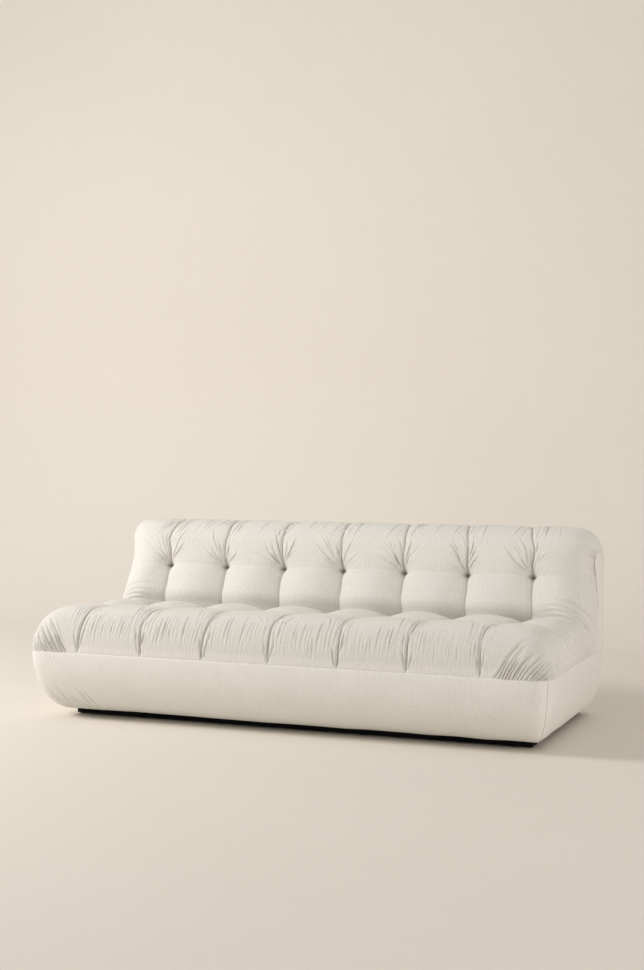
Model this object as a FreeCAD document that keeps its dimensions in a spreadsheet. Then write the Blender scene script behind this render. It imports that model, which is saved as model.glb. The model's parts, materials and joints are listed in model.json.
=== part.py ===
"""Armless three-seater sofa with a tufted seat and back, a tapered base and a recessed black plinth.

Millimetres, +Z up, +Y to the rear, +X to the right as seen from the front.
The origin is on the floor, under the middle of the sofa's overall width and depth.
"""

import FreeCAD
import Part
import Sketcher
import math
import os
import re

Vector = FreeCAD.Vector

TUFT_COUNT = 7

# Driving dimensions: alias, value in millimetres (degrees for the rake), meaning
DRIVING = [
    ("overall_width", 2140, "end to end"),
    ("overall_depth", 1020, "front roll to rear panel"),
    ("overall_height", 775, "floor to the top roll"),
    ("seat_height", 452, "floor to the crown of the seat"),
    ("front_roll_radius", 172, "radius of the seat's front roll, crown to seam"),
    ("back_rake", 21, "lean of the back from upright"),
    ("back_roll_radius", 133, "radius of the roll along the top of the back"),
    ("end_pillow_width", 245, "outer tuft column to the end"),
    ("seat_tuft_setback", 400, "front of the sofa to the seat's tuft row"),
    ("back_tuft_drop", 179, "top of the back to its tuft row"),
    ("tuft_depth", 58, "pull of a tuft below the crown"),
    ("tuft_reach", 60, "half length of a tuft's dimple"),
    ("tuft_dip", 12, "dip of the crown between two tufts"),
    ("channel_depth", 26, "depth of the channels between columns"),
    ("crease_depth", 42, "depth of the crease between seat and back"),
    ("crease_reach", 70, "how far the crease rounds into the pillows"),
    ("seam_tuck", 22, "pull of the front seam behind the roll"),
    ("pleat_depth", 8, "depth of a pleat where it ends at a seam"),
    ("shoulder_radius", 95, "rounding of the ends"),
    ("quilt_thickness", 72, "quilted cover at its crown"),
    ("side_wrap", 42, "quilted cover at the ends"),
    ("seat_foam_thickness", 83, "seat foam"),
    ("back_foam_thickness", 30, "back foam"),
    ("wrap_core", 5, "radius left open at the heart of each roll's end"),
    ("base_end_setback", 90, "each end of the base's foot inside the overall width"),
    ("base_setback", 205, "front of the base's foot behind the roll"),
    ("side_seam_inset", 8, "end panel's top inside the overall width"),
    ("fabric_thickness", 3, "cover fabric with its backing"),
    ("facing_cover", 10, "least foam between the facing and the front band"),
    ("facing_thickness", 9, "plywood facing behind the front foam"),
    ("rear_board_thickness", 3, "hardboard behind the rear panel"),
    ("layer_gap", 0.3, "clearance between upholstery layers"),
    ("glide_height", 4, "floor glide"),
    ("glide_diameter", 40, "floor glide"),
    ("glide_inset", 70, "outer glides inside the plinth's ends"),
    ("plinth_height", 24, "black plinth"),
    ("plinth_thickness", 40, "plinth rail"),
    ("plinth_recess", 18, "plinth inside the foot of the base"),
    ("rib_thickness", 18, "plywood frame rib"),
    ("end_rib_inset", 8.5, "end rib inside the base's foot"),
    ("rail_thickness", 22, "timber rail"),
    ("rail_height", 100, "seat rail"),
    ("rail_lead", 12, "seat rails ahead of what they carry"),
    ("cheek_width", 40, "rib cheek beside a seat rail"),
    ("cheek_drop", 20, "rib cheek below the rail's top"),
    ("well_depth", 85, "spring well in a rib below the rail's top"),
    ("bottom_rail_height", 45, "bottom rail"),
    ("bottom_rail_inset", 8, "front bottom rail behind the rib's front edge"),
    ("joint_clearance", 0.2, "play in a lap joint"),
    ("nosing_thickness", 12, "plywood nosing under the front roll"),
    ("web_rail_width", 66, "rails that hold the back webbing"),
    ("web_rail_start", 8, "upper webbing rail below the top roll"),
    ("webbing_width", 60, "elastic webbing"),
    ("webbing_thickness", 2, "elastic webbing"),
    ("lining_thickness", 4, "felt lining of the back"),
    ("pad_thickness", 5, "felt pad on the springs"),
    ("spring_wire", 4, "wire of the zigzag springs"),
    ("spring_width", 56, "zigzag spring, edge to edge"),
    ("spring_pitch", 28, "zigzag spring, one bar to the next"),
    ("clip_wall", 0.8, "spring clip around the wire"),
    ("clip_play", 4, "spring clip shorter than the spring's end bar"),
    ("clip_length", 14, "spring clip across the rail"),
    ("twine_diameter", 3, "tufting twine"),
    ("twine_play", 1, "hole in foam and felt around the twine"),
    ("toggle_diameter", 26, "toggle that anchors a tuft"),
    ("toggle_thickness", 4, "toggle that anchors a tuft"),
    ("bracket_leg", 40, "steel angle bracket"),
    ("bracket_thickness", 2.5, "steel angle bracket"),
    ("bolt_diameter", 8, "plinth bolt"),
    ("bolt_length", 58, "plinth bolt under its head"),
    ("bolt_head", 16, "plinth bolt head"),
    ("bolt_head_height", 5, "plinth bolt head, sunk in the rail"),
    ("dust_cover_thickness", 1, "black cloth under the frame"),
]

# Lengths that follow from the driving dimensions, each written once
DERIVED = {
    "half_width": "overall_width / 2",
    "half_depth": "overall_depth / 2",
    "base_bottom": "glide_height + plinth_height",
    "rake_sin": "sin(back_rake * 1 deg)",
    "rake_cos": "cos(back_rake * 1 deg)",
    "seam_height": "seat_height - front_roll_radius",
    "tuft_spacing": f"(overall_width - 2 * end_pillow_width) / {TUFT_COUNT - 1}",
    "back_tuft_height": "overall_height - back_tuft_drop",
    "front_roll_y": "-half_depth + front_roll_radius * cos(15 deg)",
    "back_roll_y": "half_depth - back_roll_radius",
    "back_roll_z": "overall_height - back_roll_radius",
    "crease_run": "(back_roll_z + back_roll_radius * rake_sin - seat_height) / rake_cos",
    "crease_y": "back_roll_y - back_roll_radius * rake_cos - crease_run * rake_sin",
    "mitre": "(1 - rake_sin) / rake_cos",
    "back_side_depth": "back_roll_radius - wrap_core",
    "inner_half_width": "half_width - side_wrap - layer_gap",
    "seat_foam_depth": "quilt_thickness + seat_foam_thickness",
    "back_foam_depth": "quilt_thickness + back_foam_thickness",
    "foam_bottom": "seat_height - seat_foam_depth",
    "pad_bottom": "foam_bottom - layer_gap - pad_thickness",
    "clip_height": "spring_wire + 2 * clip_wall",
    "rail_top": "pad_bottom - layer_gap - clip_height",
    "rail_bottom": "rail_top - rail_height",
    "lap_level": "rail_top - rail_height / 2",
    "cheek_top": "rail_top - cheek_drop",
    "well_level": "rail_top - well_depth",
    "lining_depth": "back_foam_depth + layer_gap",
    "web_depth": "lining_depth + lining_thickness",
    "post_depth": "web_depth + webbing_thickness",
    "tuft_run": "(back_roll_z + back_roll_radius * rake_sin - back_tuft_height) / rake_cos",
    "seat_tuft_y": "seat_tuft_setback - half_depth",
    "lower_web_run": "crease_run + web_rail_start",
    "front_rail_y": "front_roll_y - rail_lead",
    "post_foot_y": "crease_y + (post_depth - (seat_height - rail_top) * rake_sin) / rake_cos",
    "rear_rail_y": "post_foot_y - rail_lead - rail_thickness",
    "spring_z": "rail_top + clip_height / 2",
    "spring_span": "spring_rear_y - spring_front_y",
    "spring_bays": "round(spring_span / spring_pitch)",
    "clip_width": "spring_width - spring_wire - spring_span / spring_bays - clip_play",
    "spring_front_y": "front_rail_y + rail_thickness / 2",
    "spring_rear_y": "rear_rail_y + rail_thickness / 2",
    "rear_y": "half_depth - fabric_thickness - rear_board_thickness",
    "rear_top": "back_roll_z - (back_roll_radius * rake_sin + layer_gap) / rake_cos",
    "base_half": "half_width - base_end_setback",
    "side_top_half": "half_width - side_seam_inset",
    "base_front_y": "base_setback - half_depth",
    "band_top": "seam_height - layer_gap",
    "band_top_y": "front_roll_y - front_roll_radius + seam_tuck + pleat_depth",
    "front_lean": "(base_front_y - band_top_y) / (band_top - base_bottom)",
    "lean_stretch": "sqrt(1 + front_lean ^ 2)",
    "base_drop": "band_top - base_bottom",
    "front_swing": "base_front_y - band_top_y",
    "side_swing": "side_top_half - base_half",
    "facing_depth": "fabric_thickness + facing_cover",
    "rib_front_depth": "facing_depth + facing_thickness",
    "nosing_bottom": "band_top - nosing_thickness",
    "rib_outer": "base_half - end_rib_inset",
    "plinth_front_y": "base_front_y + plinth_recess",
    "plinth_rear_y": "half_depth - plinth_recess",
    "plinth_half": "base_half - plinth_recess",
    "bottom_lap": "base_bottom + bottom_rail_height / 2",
    "front_bottom_rail_y": "base_front_y + rib_front_depth * lean_stretch + bottom_rail_inset",
    "rear_bottom_rail_y": "plinth_rear_y - (plinth_thickness + rail_thickness) / 2",
}

RIB_PLACES = {
    "left_end": "-(rib_outer - rib_thickness / 2)",
    "left": "-1.5 * tuft_spacing",
    "right": "1.5 * tuft_spacing",
    "right_end": "(rib_outer - rib_thickness / 2)",
}
SPRING_COUNT = 14
HULL_TURNS = (0, 15, 30, 45, 60, 75, 90)
FRONT_ROLL_STEPS = 6
BACK_ROLL_FRONT_STEPS = 4
BACK_ROLL_REAR_STEPS = 6
BOLT_COLUMNS = (-2.5, -0.5, 0.5, 2.5)
GLIDE_SHARES = (-1, -1 / 3, 1 / 3, 1)
SIDES = {"left": -1, "right": 1}
# Sections through a crease and a tuft, as shares of their reach
CREASE_SHARES = (0.2, 0.45, 1.0)
DIMPLE_SHARES = (1.0, 0.5, 0.25, 0.0, -0.25, -0.5, -1.0)
# Sections closer together than this become one
LEAST_STEP = 2.0
# Most of an end's height that its shoulder may take, and the drop half-way along an end pillow
SHOULDER_SHARE = 0.8
END_SWELL = 0.25

document = FreeCAD.newDocument("Sofa")
sheet = document.addObject("Spreadsheet::Sheet", "Sizes")
ALIASES = set()
NODES = []


def fill_sheet():
    """Writes each driving dimension to its own cell."""
    for row, (alias, value, meaning) in enumerate(DRIVING, start=1):
        sheet.set(f"A{row}", meaning)
        sheet.set(f"B{row}", str(value))
        sheet.setAlias(f"B{row}", alias)
        ALIASES.add(alias)
    document.recompute()


def formula(text):
    """An expression on the sheet's cells, with derived lengths written out."""

    def expand(found):
        name = found.group(0)
        if name in DERIVED:
            return f"({formula(DERIVED[name])})"
        return f"Sizes.{name}" if name in ALIASES else name

    return re.sub(r"[A-Za-z_]\w*", expand, str(text))


def number(text):
    """The value of an expression on the sheet's cells."""
    found = sheet.evalExpression(formula(text))
    return float(getattr(found, "Value", found))


def bind(feature, **sizes):
    """Binds properties of a feature to expressions on the sheet's cells."""
    for name, text in sizes.items():
        feature.setExpression(name, formula(text))


def place(feature, x, y, z):
    """Binds a feature's place to expressions on the sheet's cells."""
    for axis, text in zip("xyz", (x, y, z)):
        feature.setExpression(f"Placement.Base.{axis}", formula(text))


def lean(feature, angle):
    """Leans a feature backwards about the X axis by an angle bound to the sheet's cells."""
    feature.Placement.Rotation = FreeCAD.Rotation(Vector(-1, 0, 0), number(angle))
    feature.setExpression("Placement.Rotation.Angle", formula(angle))


def node(feature, label):
    """Names a finished sub-part and lists it for export."""
    feature.Label = label
    NODES.append(feature)
    return feature


def back_y(run, depth):
    """Y of a point on the back: run down the slope from the top roll, depth below the crown."""
    return f"(back_roll_y - (back_roll_radius - ({depth})) * rake_cos - ({run}) * rake_sin)"


def back_z(run, depth):
    """Z of a point on the back, as back_y."""
    return f"(back_roll_z + (back_roll_radius - ({depth})) * rake_sin - ({run}) * rake_cos)"


def front_y(height, depth):
    """Y of a point behind the straight slope from the front seam to the foot."""
    return f"(base_front_y - (({height}) - base_bottom) * front_lean + ({depth}) * lean_stretch)"


def hull_x(turn, depth):
    """X of a point on the base's rounded end: turn 0 at the seam, 90 at the foot, depth inside its face."""
    return f"(base_half + (side_swing - ({depth})) * cos({turn} deg))"


def hull_y(turn, depth):
    """Y of a point on the base's rounded front, as hull_x."""
    return f"(base_front_y - (front_swing - ({depth})) * cos({turn} deg))"


def hull_z(turn, depth):
    """Z of a point on the base's rounded front or end, as hull_x."""
    return f"(band_top - (base_drop - ({depth})) * sin({turn} deg))"


def tuft_columns():
    """Column number of each tuft, counted from the middle."""
    return [index - (TUFT_COUNT - 1) / 2 for index in range(TUFT_COUNT)]


def spring_columns():
    """Column number of each spring and webbing strap, half-way between tufts and ribs."""
    return [(index - (SPRING_COUNT - 1) / 2) / 2 for index in range(SPRING_COUNT)]


# Building blocks


def box(name, length, width, height, x, y, z):
    """A block with its low corner at x, y, z."""
    made = document.addObject("Part::Box", name)
    bind(made, Length=length, Width=width, Height=height)
    place(made, x, y, z)
    return made


def slope_box(name, length, low_run, high_run, depth, thickness, x):
    """A board that lies along the back's slope, from one run to another at a depth below the crown."""
    y, z = back_y(low_run, depth), back_z(low_run, depth)
    made = box(name, length, thickness, f"{low_run} - ({high_run})", x, y, z)
    lean(made, "back_rake * 1 deg")
    return made


def cylinder(name, diameter, height, x, y, z):
    """An upright cylinder on the point x, y, z."""
    made = document.addObject("Part::Cylinder", name)
    bind(made, Radius=f"({diameter}) / 2", Height=height)
    place(made, x, y, z)
    return made


def wedge(name, low, high, bottom, top):
    """A block whose foot and head are different rectangles, each given as low x, high x, low y, high y."""
    made = document.addObject("Part::Wedge", name)
    bind(made, Ymin=bottom, Ymax=top)
    bind(made, Xmin=low[0], Xmax=low[1], Zmin=f"-({low[3]})", Zmax=f"-({low[2]})")
    bind(made, X2min=high[0], X2max=high[1], Z2min=f"-({high[3]})", Z2max=f"-({high[2]})")
    made.Placement = FreeCAD.Placement(Vector(), FreeCAD.Rotation(Vector(1, 0, 0), 90))
    return made


def group(name, features):
    """Several separate solids as one sub-part."""
    made = document.addObject("Part::Compound", name)
    made.Links = features
    return made


def cut(name, base, tools):
    """A base with tools taken out of it."""
    made = document.addObject("Part::Cut", name)
    made.Base = base
    made.Tool = tools[0] if len(tools) == 1 else group(f"{name}_tools", tools)
    return made


def outline_body(name, points, plane_role, thickness):
    """A body padded from a closed outline of points, each a pair of expressions, centred on its plane."""
    body = document.addObject("PartDesign::Body", name)
    plane = next(feature for feature in body.Origin.OriginFeatures if feature.Role == plane_role)
    sketch = body.newObject("Sketcher::SketchObject", f"{name}_outline")
    sketch.AttachmentSupport = [(plane, "")]
    sketch.MapMode = "FlatFace"
    corners = [Vector(number(across), number(up), 0) for across, up in points]
    count = len(corners)
    for index in range(count):
        sketch.addGeometry(Part.LineSegment(corners[index], corners[(index + 1) % count]))
    for index in range(count):
        sketch.addConstraint(Sketcher.Constraint("Coincident", index, 2, (index + 1) % count, 1))
    for index, corner in enumerate(corners):
        for kind, value, text in zip(("DistanceX", "DistanceY"), corner, points[index]):
            added = sketch.addConstraint(Sketcher.Constraint(kind, -1, 1, index, 1, value))
            sketch.setExpression(f"Constraints[{added}]", formula(text))
    pad = body.newObject("PartDesign::Pad", f"{name}_pad")
    pad.Profile = sketch
    pad.Midplane = True
    bind(pad, Length=thickness)
    return body


# Plinth and floor glides


def bolt_places():
    """X and Y of each plinth bolt: under the bottom rails, between the ribs."""
    rails = {"front": "front_bottom_rail_y", "rear": "rear_bottom_rail_y"}
    return {end: [(f"{column} * tuft_spacing", f"{y} + rail_thickness / 2") for column in BOLT_COLUMNS]
            for end, y in rails.items()}


def bolt_form(name, x, y, play):
    """A bolt from below, head sunk in the plinth, or with play the hole for it."""
    form = document.addObject("Part::Fuse", name)
    form.Base = cylinder(f"{name}_head", f"bolt_head + {play}", "bolt_head_height", x, y, "glide_height")
    form.Tool = cylinder(f"{name}_shank", f"bolt_diameter + {play}", "bolt_length", x, y, "glide_height")
    return form


def bolt_holes(name, end):
    """Holes for the plinth bolts of one rail."""
    return [bolt_form(f"{name}_hole_{index}", x, y, "joint_clearance")
            for index, (x, y) in enumerate(bolt_places()[end])]


def make_plinth():
    """Black plinth ring with bearers under the inner ribs, bolted up into the bottom rails."""
    inner_depth = "plinth_rear_y - plinth_front_y - 2 * plinth_thickness"
    inner_y = "plinth_front_y + plinth_thickness"
    for end, y in {"front": "plinth_front_y", "rear": "plinth_rear_y - plinth_thickness"}.items():
        blank = box(f"plinth_{end}_blank", "2 * plinth_half", "plinth_thickness", "plinth_height",
                    "-plinth_half", y, "glide_height")
        node(cut(f"plinth_{end}", blank, bolt_holes(f"plinth_{end}", end)), f"plinth_{end}_rail")
    for side, sign in SIDES.items():
        places = {
            "rail": "-plinth_half" if sign < 0 else "plinth_half - plinth_thickness",
            "bearer": f"{RIB_PLACES[side]} - plinth_thickness / 2",
        }
        for name, x in places.items():
            rail = box(f"plinth_{side}_{name}_box", "plinth_thickness", inner_depth, "plinth_height",
                       x, inner_y, "glide_height")
            node(rail, f"plinth_{side}_{name}")
    bolts = [bolt_form(f"{end}_bolt_{index}", x, y, "0")
             for end, places in bolt_places().items() for index, (x, y) in enumerate(places)]
    node(group("plinth_bolt_set", bolts), "plinth_bolts")
    make_glides()
    make_dust_cover(inner_y, inner_depth)


def make_glides():
    """Floor glides under the plinth's front and rear rails."""
    glides = []
    for row in ("plinth_front_y + plinth_thickness / 2", "plinth_rear_y - plinth_thickness / 2"):
        for share in GLIDE_SHARES:
            x = f"{share} * (plinth_half - glide_inset)"
            glides.append(cylinder(f"glide_{len(glides)}", "glide_diameter", "glide_height", x, row, "0"))
    node(group("glide_set", glides), "floor_glides")


def make_dust_cover(y, depth):
    """Black cloth that closes the plinth's three bays."""
    edges = ["-plinth_half + plinth_thickness"]
    for side in SIDES:
        edges.append(f"{RIB_PLACES[side]} - plinth_thickness / 2")
        edges.append(f"{RIB_PLACES[side]} + plinth_thickness / 2")
    edges.append("plinth_half - plinth_thickness")
    sheets = []
    for low, high in zip(edges[::2], edges[1::2]):
        sheets.append(box(f"dust_sheet_{len(sheets)}", f"({high}) - ({low})", depth, "dust_cover_thickness",
                          low, y, "base_bottom - dust_cover_thickness"))
    node(group("dust_sheets", sheets), "bottom_dust_cover")


# Frame


def rib_outline():
    """Side outline of a rib: foot, sloping front, spring well, seat rail slots and back post in one piece."""
    gap = "joint_clearance"
    front_slot = (f"front_rail_y - {gap}", f"front_rail_y + rail_thickness + {gap}")
    rear_slot = (f"rear_rail_y - {gap}", f"rear_rail_y + rail_thickness + {gap}")
    front_cheek = "front_rail_y + rail_thickness + cheek_width"
    rear_cheek = "rear_rail_y - cheek_width"
    post_run = "(back_roll_z + (back_roll_radius - post_depth) * rake_sin - cheek_top) / rake_cos"
    points = [
        (front_y("base_bottom", "rib_front_depth"), "base_bottom"),
        (f"front_bottom_rail_y - {gap}", "base_bottom"),
        (f"front_bottom_rail_y - {gap}", "bottom_lap"),
        (f"front_bottom_rail_y + rail_thickness + {gap}", "bottom_lap"),
        (f"front_bottom_rail_y + rail_thickness + {gap}", "base_bottom"),
        (f"rear_bottom_rail_y - {gap}", "base_bottom"),
        (f"rear_bottom_rail_y - {gap}", "bottom_lap"),
        (f"rear_bottom_rail_y + rail_thickness + {gap}", "bottom_lap"),
        (f"rear_bottom_rail_y + rail_thickness + {gap}", "base_bottom"),
        ("rear_y", "base_bottom"),
        ("rear_y", "back_roll_z - ((rear_y - back_roll_y) * rake_sin + layer_gap) / rake_cos"),
        (back_y("layer_gap", "post_depth"), back_z("layer_gap", "post_depth")),
    ]
    for run in ("web_rail_start", "lower_web_run"):
        low = f"{run} - {gap}"
        high = f"{run} + web_rail_width + {gap}"
        notch = f"post_depth + rail_thickness + {gap}"
        for corner_run, depth in ((low, "post_depth"), (low, notch), (high, notch), (high, "post_depth")):
            points.append((back_y(corner_run, depth), back_z(corner_run, depth)))
    points += [
        (back_y(post_run, "post_depth"), "cheek_top"),
        (rear_slot[1], "cheek_top"),
        (rear_slot[1], "lap_level"),
        (rear_slot[0], "lap_level"),
        (rear_slot[0], "cheek_top"),
        (rear_cheek, "cheek_top"),
        (f"{rear_cheek} - cheek_width", "well_level"),
        (f"{front_cheek} + cheek_width", "well_level"),
        (front_cheek, "cheek_top"),
        (front_slot[1], "cheek_top"),
        (front_slot[1], "lap_level"),
        (front_slot[0], "lap_level"),
        (front_slot[0], "nosing_bottom"),
        (front_y("nosing_bottom", "rib_front_depth"), "nosing_bottom"),
    ]
    return points


def make_ribs():
    """Plywood ribs, the end pair flush with the facing's ends and the inner pair between tuft columns."""
    for name, x in RIB_PLACES.items():
        body = outline_body(f"rib_{name}", rib_outline(), "YZ_Plane", "rib_thickness")
        place(body, x, "0", "0")
        node(body, f"frame_rib_{name}")


def lapped_rail(name, height, y, z, slot_z, holes=()):
    """A rail on edge through all ribs, with a half-height slot at each and any holes."""
    blank = box(f"{name}_blank", "2 * rib_outer", "rail_thickness", height, "-rib_outer", y, z)
    slots = list(holes)
    for rib, middle in RIB_PLACES.items():
        x = f"{middle} - rib_thickness / 2 - joint_clearance"
        width = "rib_thickness + 2 * joint_clearance"
        slots.append(box(f"{name}_slot_{rib}", width, "rail_thickness", f"({height}) / 2", x, y, slot_z))
    return node(cut(f"{name}_cut", blank, slots), name)


def make_rails():
    """Seat rails lapped into the ribs from above, bottom rails from below, and the rails of the back."""
    lapped_rail("front_seat_rail", "rail_height", "front_rail_y", "rail_bottom", "rail_bottom")
    lapped_rail("rear_seat_rail", "rail_height", "rear_rail_y", "rail_bottom", "rail_bottom")
    for end in ("front", "rear"):
        name = f"bottom_{end}_rail"
        lapped_rail(name, "bottom_rail_height", f"{end}_bottom_rail_y", "base_bottom", "bottom_lap",
                    bolt_holes(name, end))
    for name, run in (("back_upper_rail", "web_rail_start"), ("back_lower_rail", "lower_web_run")):
        low_run = f"{run} + web_rail_width"
        rail = slope_box(name, "2 * rib_outer", low_run, run, "post_depth", "rail_thickness", "-rib_outer")
        node(rail, name)


def make_top_roll():
    """Half-round rail along the top of the back, on the ribs' sloping heads."""
    bar = document.addObject("Part::Cylinder", "top_roll_bar")
    radius = f"(back_roll_radius - back_foam_depth) * cos(90 deg / {BACK_ROLL_REAR_STEPS}) - 2 * layer_gap"
    bind(bar, Radius=radius, Height="2 * inner_half_width", Angle="180")
    along_x = FreeCAD.Rotation(Vector(0, 1, 0), Vector(0, 0, 1), Vector(1, 0, 0), "ZXY")
    bar.Placement.Rotation = FreeCAD.Rotation(Vector(-1, 0, 0), number("back_rake")).multiply(along_x)
    y, z = back_y("layer_gap", "back_roll_radius"), back_z("layer_gap", "back_roll_radius")
    place(bar, "-inner_half_width", y, z)
    node(bar, "back_top_roll_rail")


def make_boards():
    """Sloping front facing, the nosing that carries the front roll, and the rear board."""
    rectangles = []
    for height in ("base_bottom", "band_top"):
        rectangles.append(("-rib_outer", "rib_outer", front_y(height, "facing_depth"),
                           front_y(height, "rib_front_depth")))
    node(wedge("front_facing", *rectangles, "base_bottom", "band_top"), "front_facing_board")
    nosing_y = front_y("nosing_bottom", "rib_front_depth")
    nosing = box("nosing", "2 * rib_outer", f"front_rail_y - {nosing_y}", "nosing_thickness",
                 "-rib_outer", nosing_y, "nosing_bottom")
    node(nosing, "front_nosing_board")
    rear = box("rear_board", "2 * rib_outer", "rear_board_thickness", "rear_top - base_bottom",
               "-rib_outer", "rear_y", "base_bottom")
    node(rear, "rear_facing_board")


def make_rear_cloth():
    """The cloth over the whole rear, drawn in towards the foot as the ends are."""
    half = [(hull_x(turn, "0"), hull_z(turn, "0")) for turn in reversed(HULL_TURNS)]
    half += [("half_width", "seam_height"), ("half_width", "rear_top")]
    points = half + [(f"-({across})", up) for across, up in reversed(half)]
    body = outline_body("rear_cloth", points, "XZ_Plane", "fabric_thickness")
    place(body, "0", "rear_y + rear_board_thickness + fabric_thickness / 2", "0")
    node(body, "rear_panel")


def make_brackets():
    """Steel angle brackets that hold the rear seat rail to the ribs, on each rib's inner face."""
    brackets = []
    y, z, height = "rear_rail_y + rail_thickness", "lap_level", "cheek_top - lap_level"
    for name, middle in RIB_PLACES.items():
        inward = 1 if name.startswith("left") else -1
        face = f"({middle} + {inward} * rib_thickness / 2)"
        flat_x = face if inward > 0 else f"{face} - bracket_leg"
        leg_x = face if inward > 0 else f"{face} - bracket_thickness"
        bracket = document.addObject("Part::Fuse", f"bracket_{name}")
        bracket.Base = box(f"bracket_flat_{name}", "bracket_leg", "bracket_thickness", height, flat_x, y, z)
        bracket.Tool = box(f"bracket_side_{name}", "bracket_thickness", "bracket_leg", height, leg_x, y, z)
        brackets.append(bracket)
    node(group("bracket_set", brackets), "rear_rail_brackets")


# Springs, webbing and felt


def spring_path(bays, pitch, width):
    """Centreline of one zigzag spring along +Y from the origin: bars across joined by half-round bends."""
    reach = width / 2 - pitch / 2
    edges = []
    side = 1
    for bay in range(bays + 1):
        y = bay * pitch
        near, far = Vector(-side * reach, y, 0), Vector(side * reach, y, 0)
        edges.append(Part.LineSegment(near, far).toShape())
        if bay < bays:
            middle = Vector(side * width / 2, y + pitch / 2, 0)
            edges.append(Part.Arc(far, middle, Vector(side * reach, y + pitch, 0)).toShape())
        side = -side
    return Part.Wire(edges)


def make_springs():
    """Zigzag seat springs between the seat rails, each end bar held in a clip on the rail."""
    wire = number("spring_wire")
    pitch = number("spring_span / spring_bays")
    path = spring_path(round(number("spring_bays")), pitch, number("spring_width") - wire)
    start = path.OrderedVertexes[0].Point
    tube = path.makePipeShell([Part.Wire(Part.makeCircle(wire / 2, start, Vector(1, 0, 0)))], True, False)
    expected = math.pi * wire**2 / 4 * path.Length
    print(f"spring: bar gap {pitch - wire:.1f} mm, volume {tube.Volume / expected:.3f} of wire times length")
    springs, clips = [], []
    for column in spring_columns():
        x = number(f"{column} * tuft_spacing")
        copy = tube.copy()
        copy.translate(Vector(x, number("spring_front_y"), number("spring_z")))
        springs.append(copy)
        for y in ("spring_front_y", "spring_rear_y"):
            clips.append(spring_clip(f"clip_{len(clips)}", f"{column} * tuft_spacing", y))
    holder = document.addObject("Part::Feature", "spring_set")
    holder.Shape = Part.makeCompound(springs)
    node(holder, "seat_springs")
    node(group("clip_set", clips), "spring_clips")


def spring_clip(name, x, y):
    """A clip on a rail's top edge with an eye for the spring's end bar."""
    block = box(f"{name}_block", "clip_width", "clip_length", "clip_height",
                f"{x} - clip_width / 2", f"{y} - clip_length / 2", "rail_top")
    eye = document.addObject("Part::Cylinder", f"{name}_eye")
    bind(eye, Radius="spring_wire / 2 + joint_clearance / 2", Height="clip_width")
    eye.Placement.Rotation = FreeCAD.Rotation(Vector(0, 1, 0), 90)
    place(eye, f"{x} - clip_width / 2", y, "spring_z")
    return cut(f"{name}_cut", block, [eye])


def make_webbing():
    """Elastic webbing on the back's rails, and the felt that covers webbing and springs."""
    straps = []
    runs = ("lower_web_run + web_rail_width", "web_rail_start")
    for column in spring_columns():
        x = f"{column} * tuft_spacing - webbing_width / 2"
        name = f"strap_{len(straps)}"
        straps.append(slope_box(name, "webbing_width", *runs, "web_depth", "webbing_thickness", x))
    node(group("strap_set", straps), "back_webbing")
    lining = slope_box("lining_blank", "2 * rib_outer", *runs,
                       "lining_depth", "lining_thickness", "-rib_outer")
    node(cut("lining_cut", lining, back_twine_holes("lining")), "back_lining")
    pad_y = "(front_roll_y + layer_gap)"
    pad_depth = f"rear_rail_y + rail_thickness - {pad_y}"
    pad = box("pad_blank", "2 * inner_half_width", pad_depth, "pad_thickness",
              "-inner_half_width", pad_y, "pad_bottom")
    node(cut("pad_cut", pad, seat_twine_holes("pad")), "seat_felt_pad")


def seat_twine(name, diameter, column, low, high):
    """An upright cylinder at a seat tuft, between two heights."""
    return cylinder(name, diameter, f"{high} - ({low})", f"{column} * tuft_spacing", "seat_tuft_y", low)


def back_twine(name, diameter, column, low, high):
    """A cylinder at a back tuft, square to the slope, between two depths below the crown."""
    made = cylinder(name, diameter, f"{high} - ({low})", f"{column} * tuft_spacing",
                    back_y("tuft_run", low), back_z("tuft_run", low))
    lean(made, "90 deg + back_rake * 1 deg")
    return made


def seat_twine_holes(name):
    """Holes for the seat's twines."""
    holes = []
    for index, column in enumerate(tuft_columns()):
        diameter = "twine_diameter + 2 * twine_play"
        holes.append(seat_twine(f"{name}_hole_{index}", diameter, column, "pad_bottom", "seat_height"))
    return holes


def back_twine_holes(name):
    """Holes for the back's twines."""
    holes = []
    for index, column in enumerate(tuft_columns()):
        diameter = "twine_diameter + 2 * twine_play"
        holes.append(back_twine(f"{name}_hole_{index}", diameter, column, "0", "post_depth"))
    return holes


def make_tuft_ties():
    """Twine from each tuft's seat under the cover to a toggle behind the felt."""
    seat_twines, seat_toggles, back_twines, back_toggles = [], [], [], []
    for index, column in enumerate(tuft_columns()):
        low, high = "pad_bottom", "seat_height - quilt_thickness - layer_gap"
        seat_twines.append(seat_twine(f"seat_twine_{index}", "twine_diameter", column, low, high))
        low = "pad_bottom - toggle_thickness"
        seat_toggles.append(seat_twine(f"seat_toggle_{index}", "toggle_diameter", column, low, "pad_bottom"))
        low, high = "quilt_thickness + layer_gap", "web_depth"
        back_twines.append(back_twine(f"back_twine_{index}", "twine_diameter", column, low, high))
        high = "web_depth + toggle_thickness"
        back_toggles.append(back_twine(f"back_toggle_{index}", "toggle_diameter", column, "web_depth", high))
    node(group("seat_twine_set", seat_twines), "seat_tuft_twines")
    node(group("seat_toggle_set", seat_toggles), "seat_tuft_toggles")
    node(group("back_twine_set", back_twines), "back_tuft_twines")
    node(group("back_toggle_set", back_toggles), "back_tuft_toggles")


# Quilted seat and back


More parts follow.
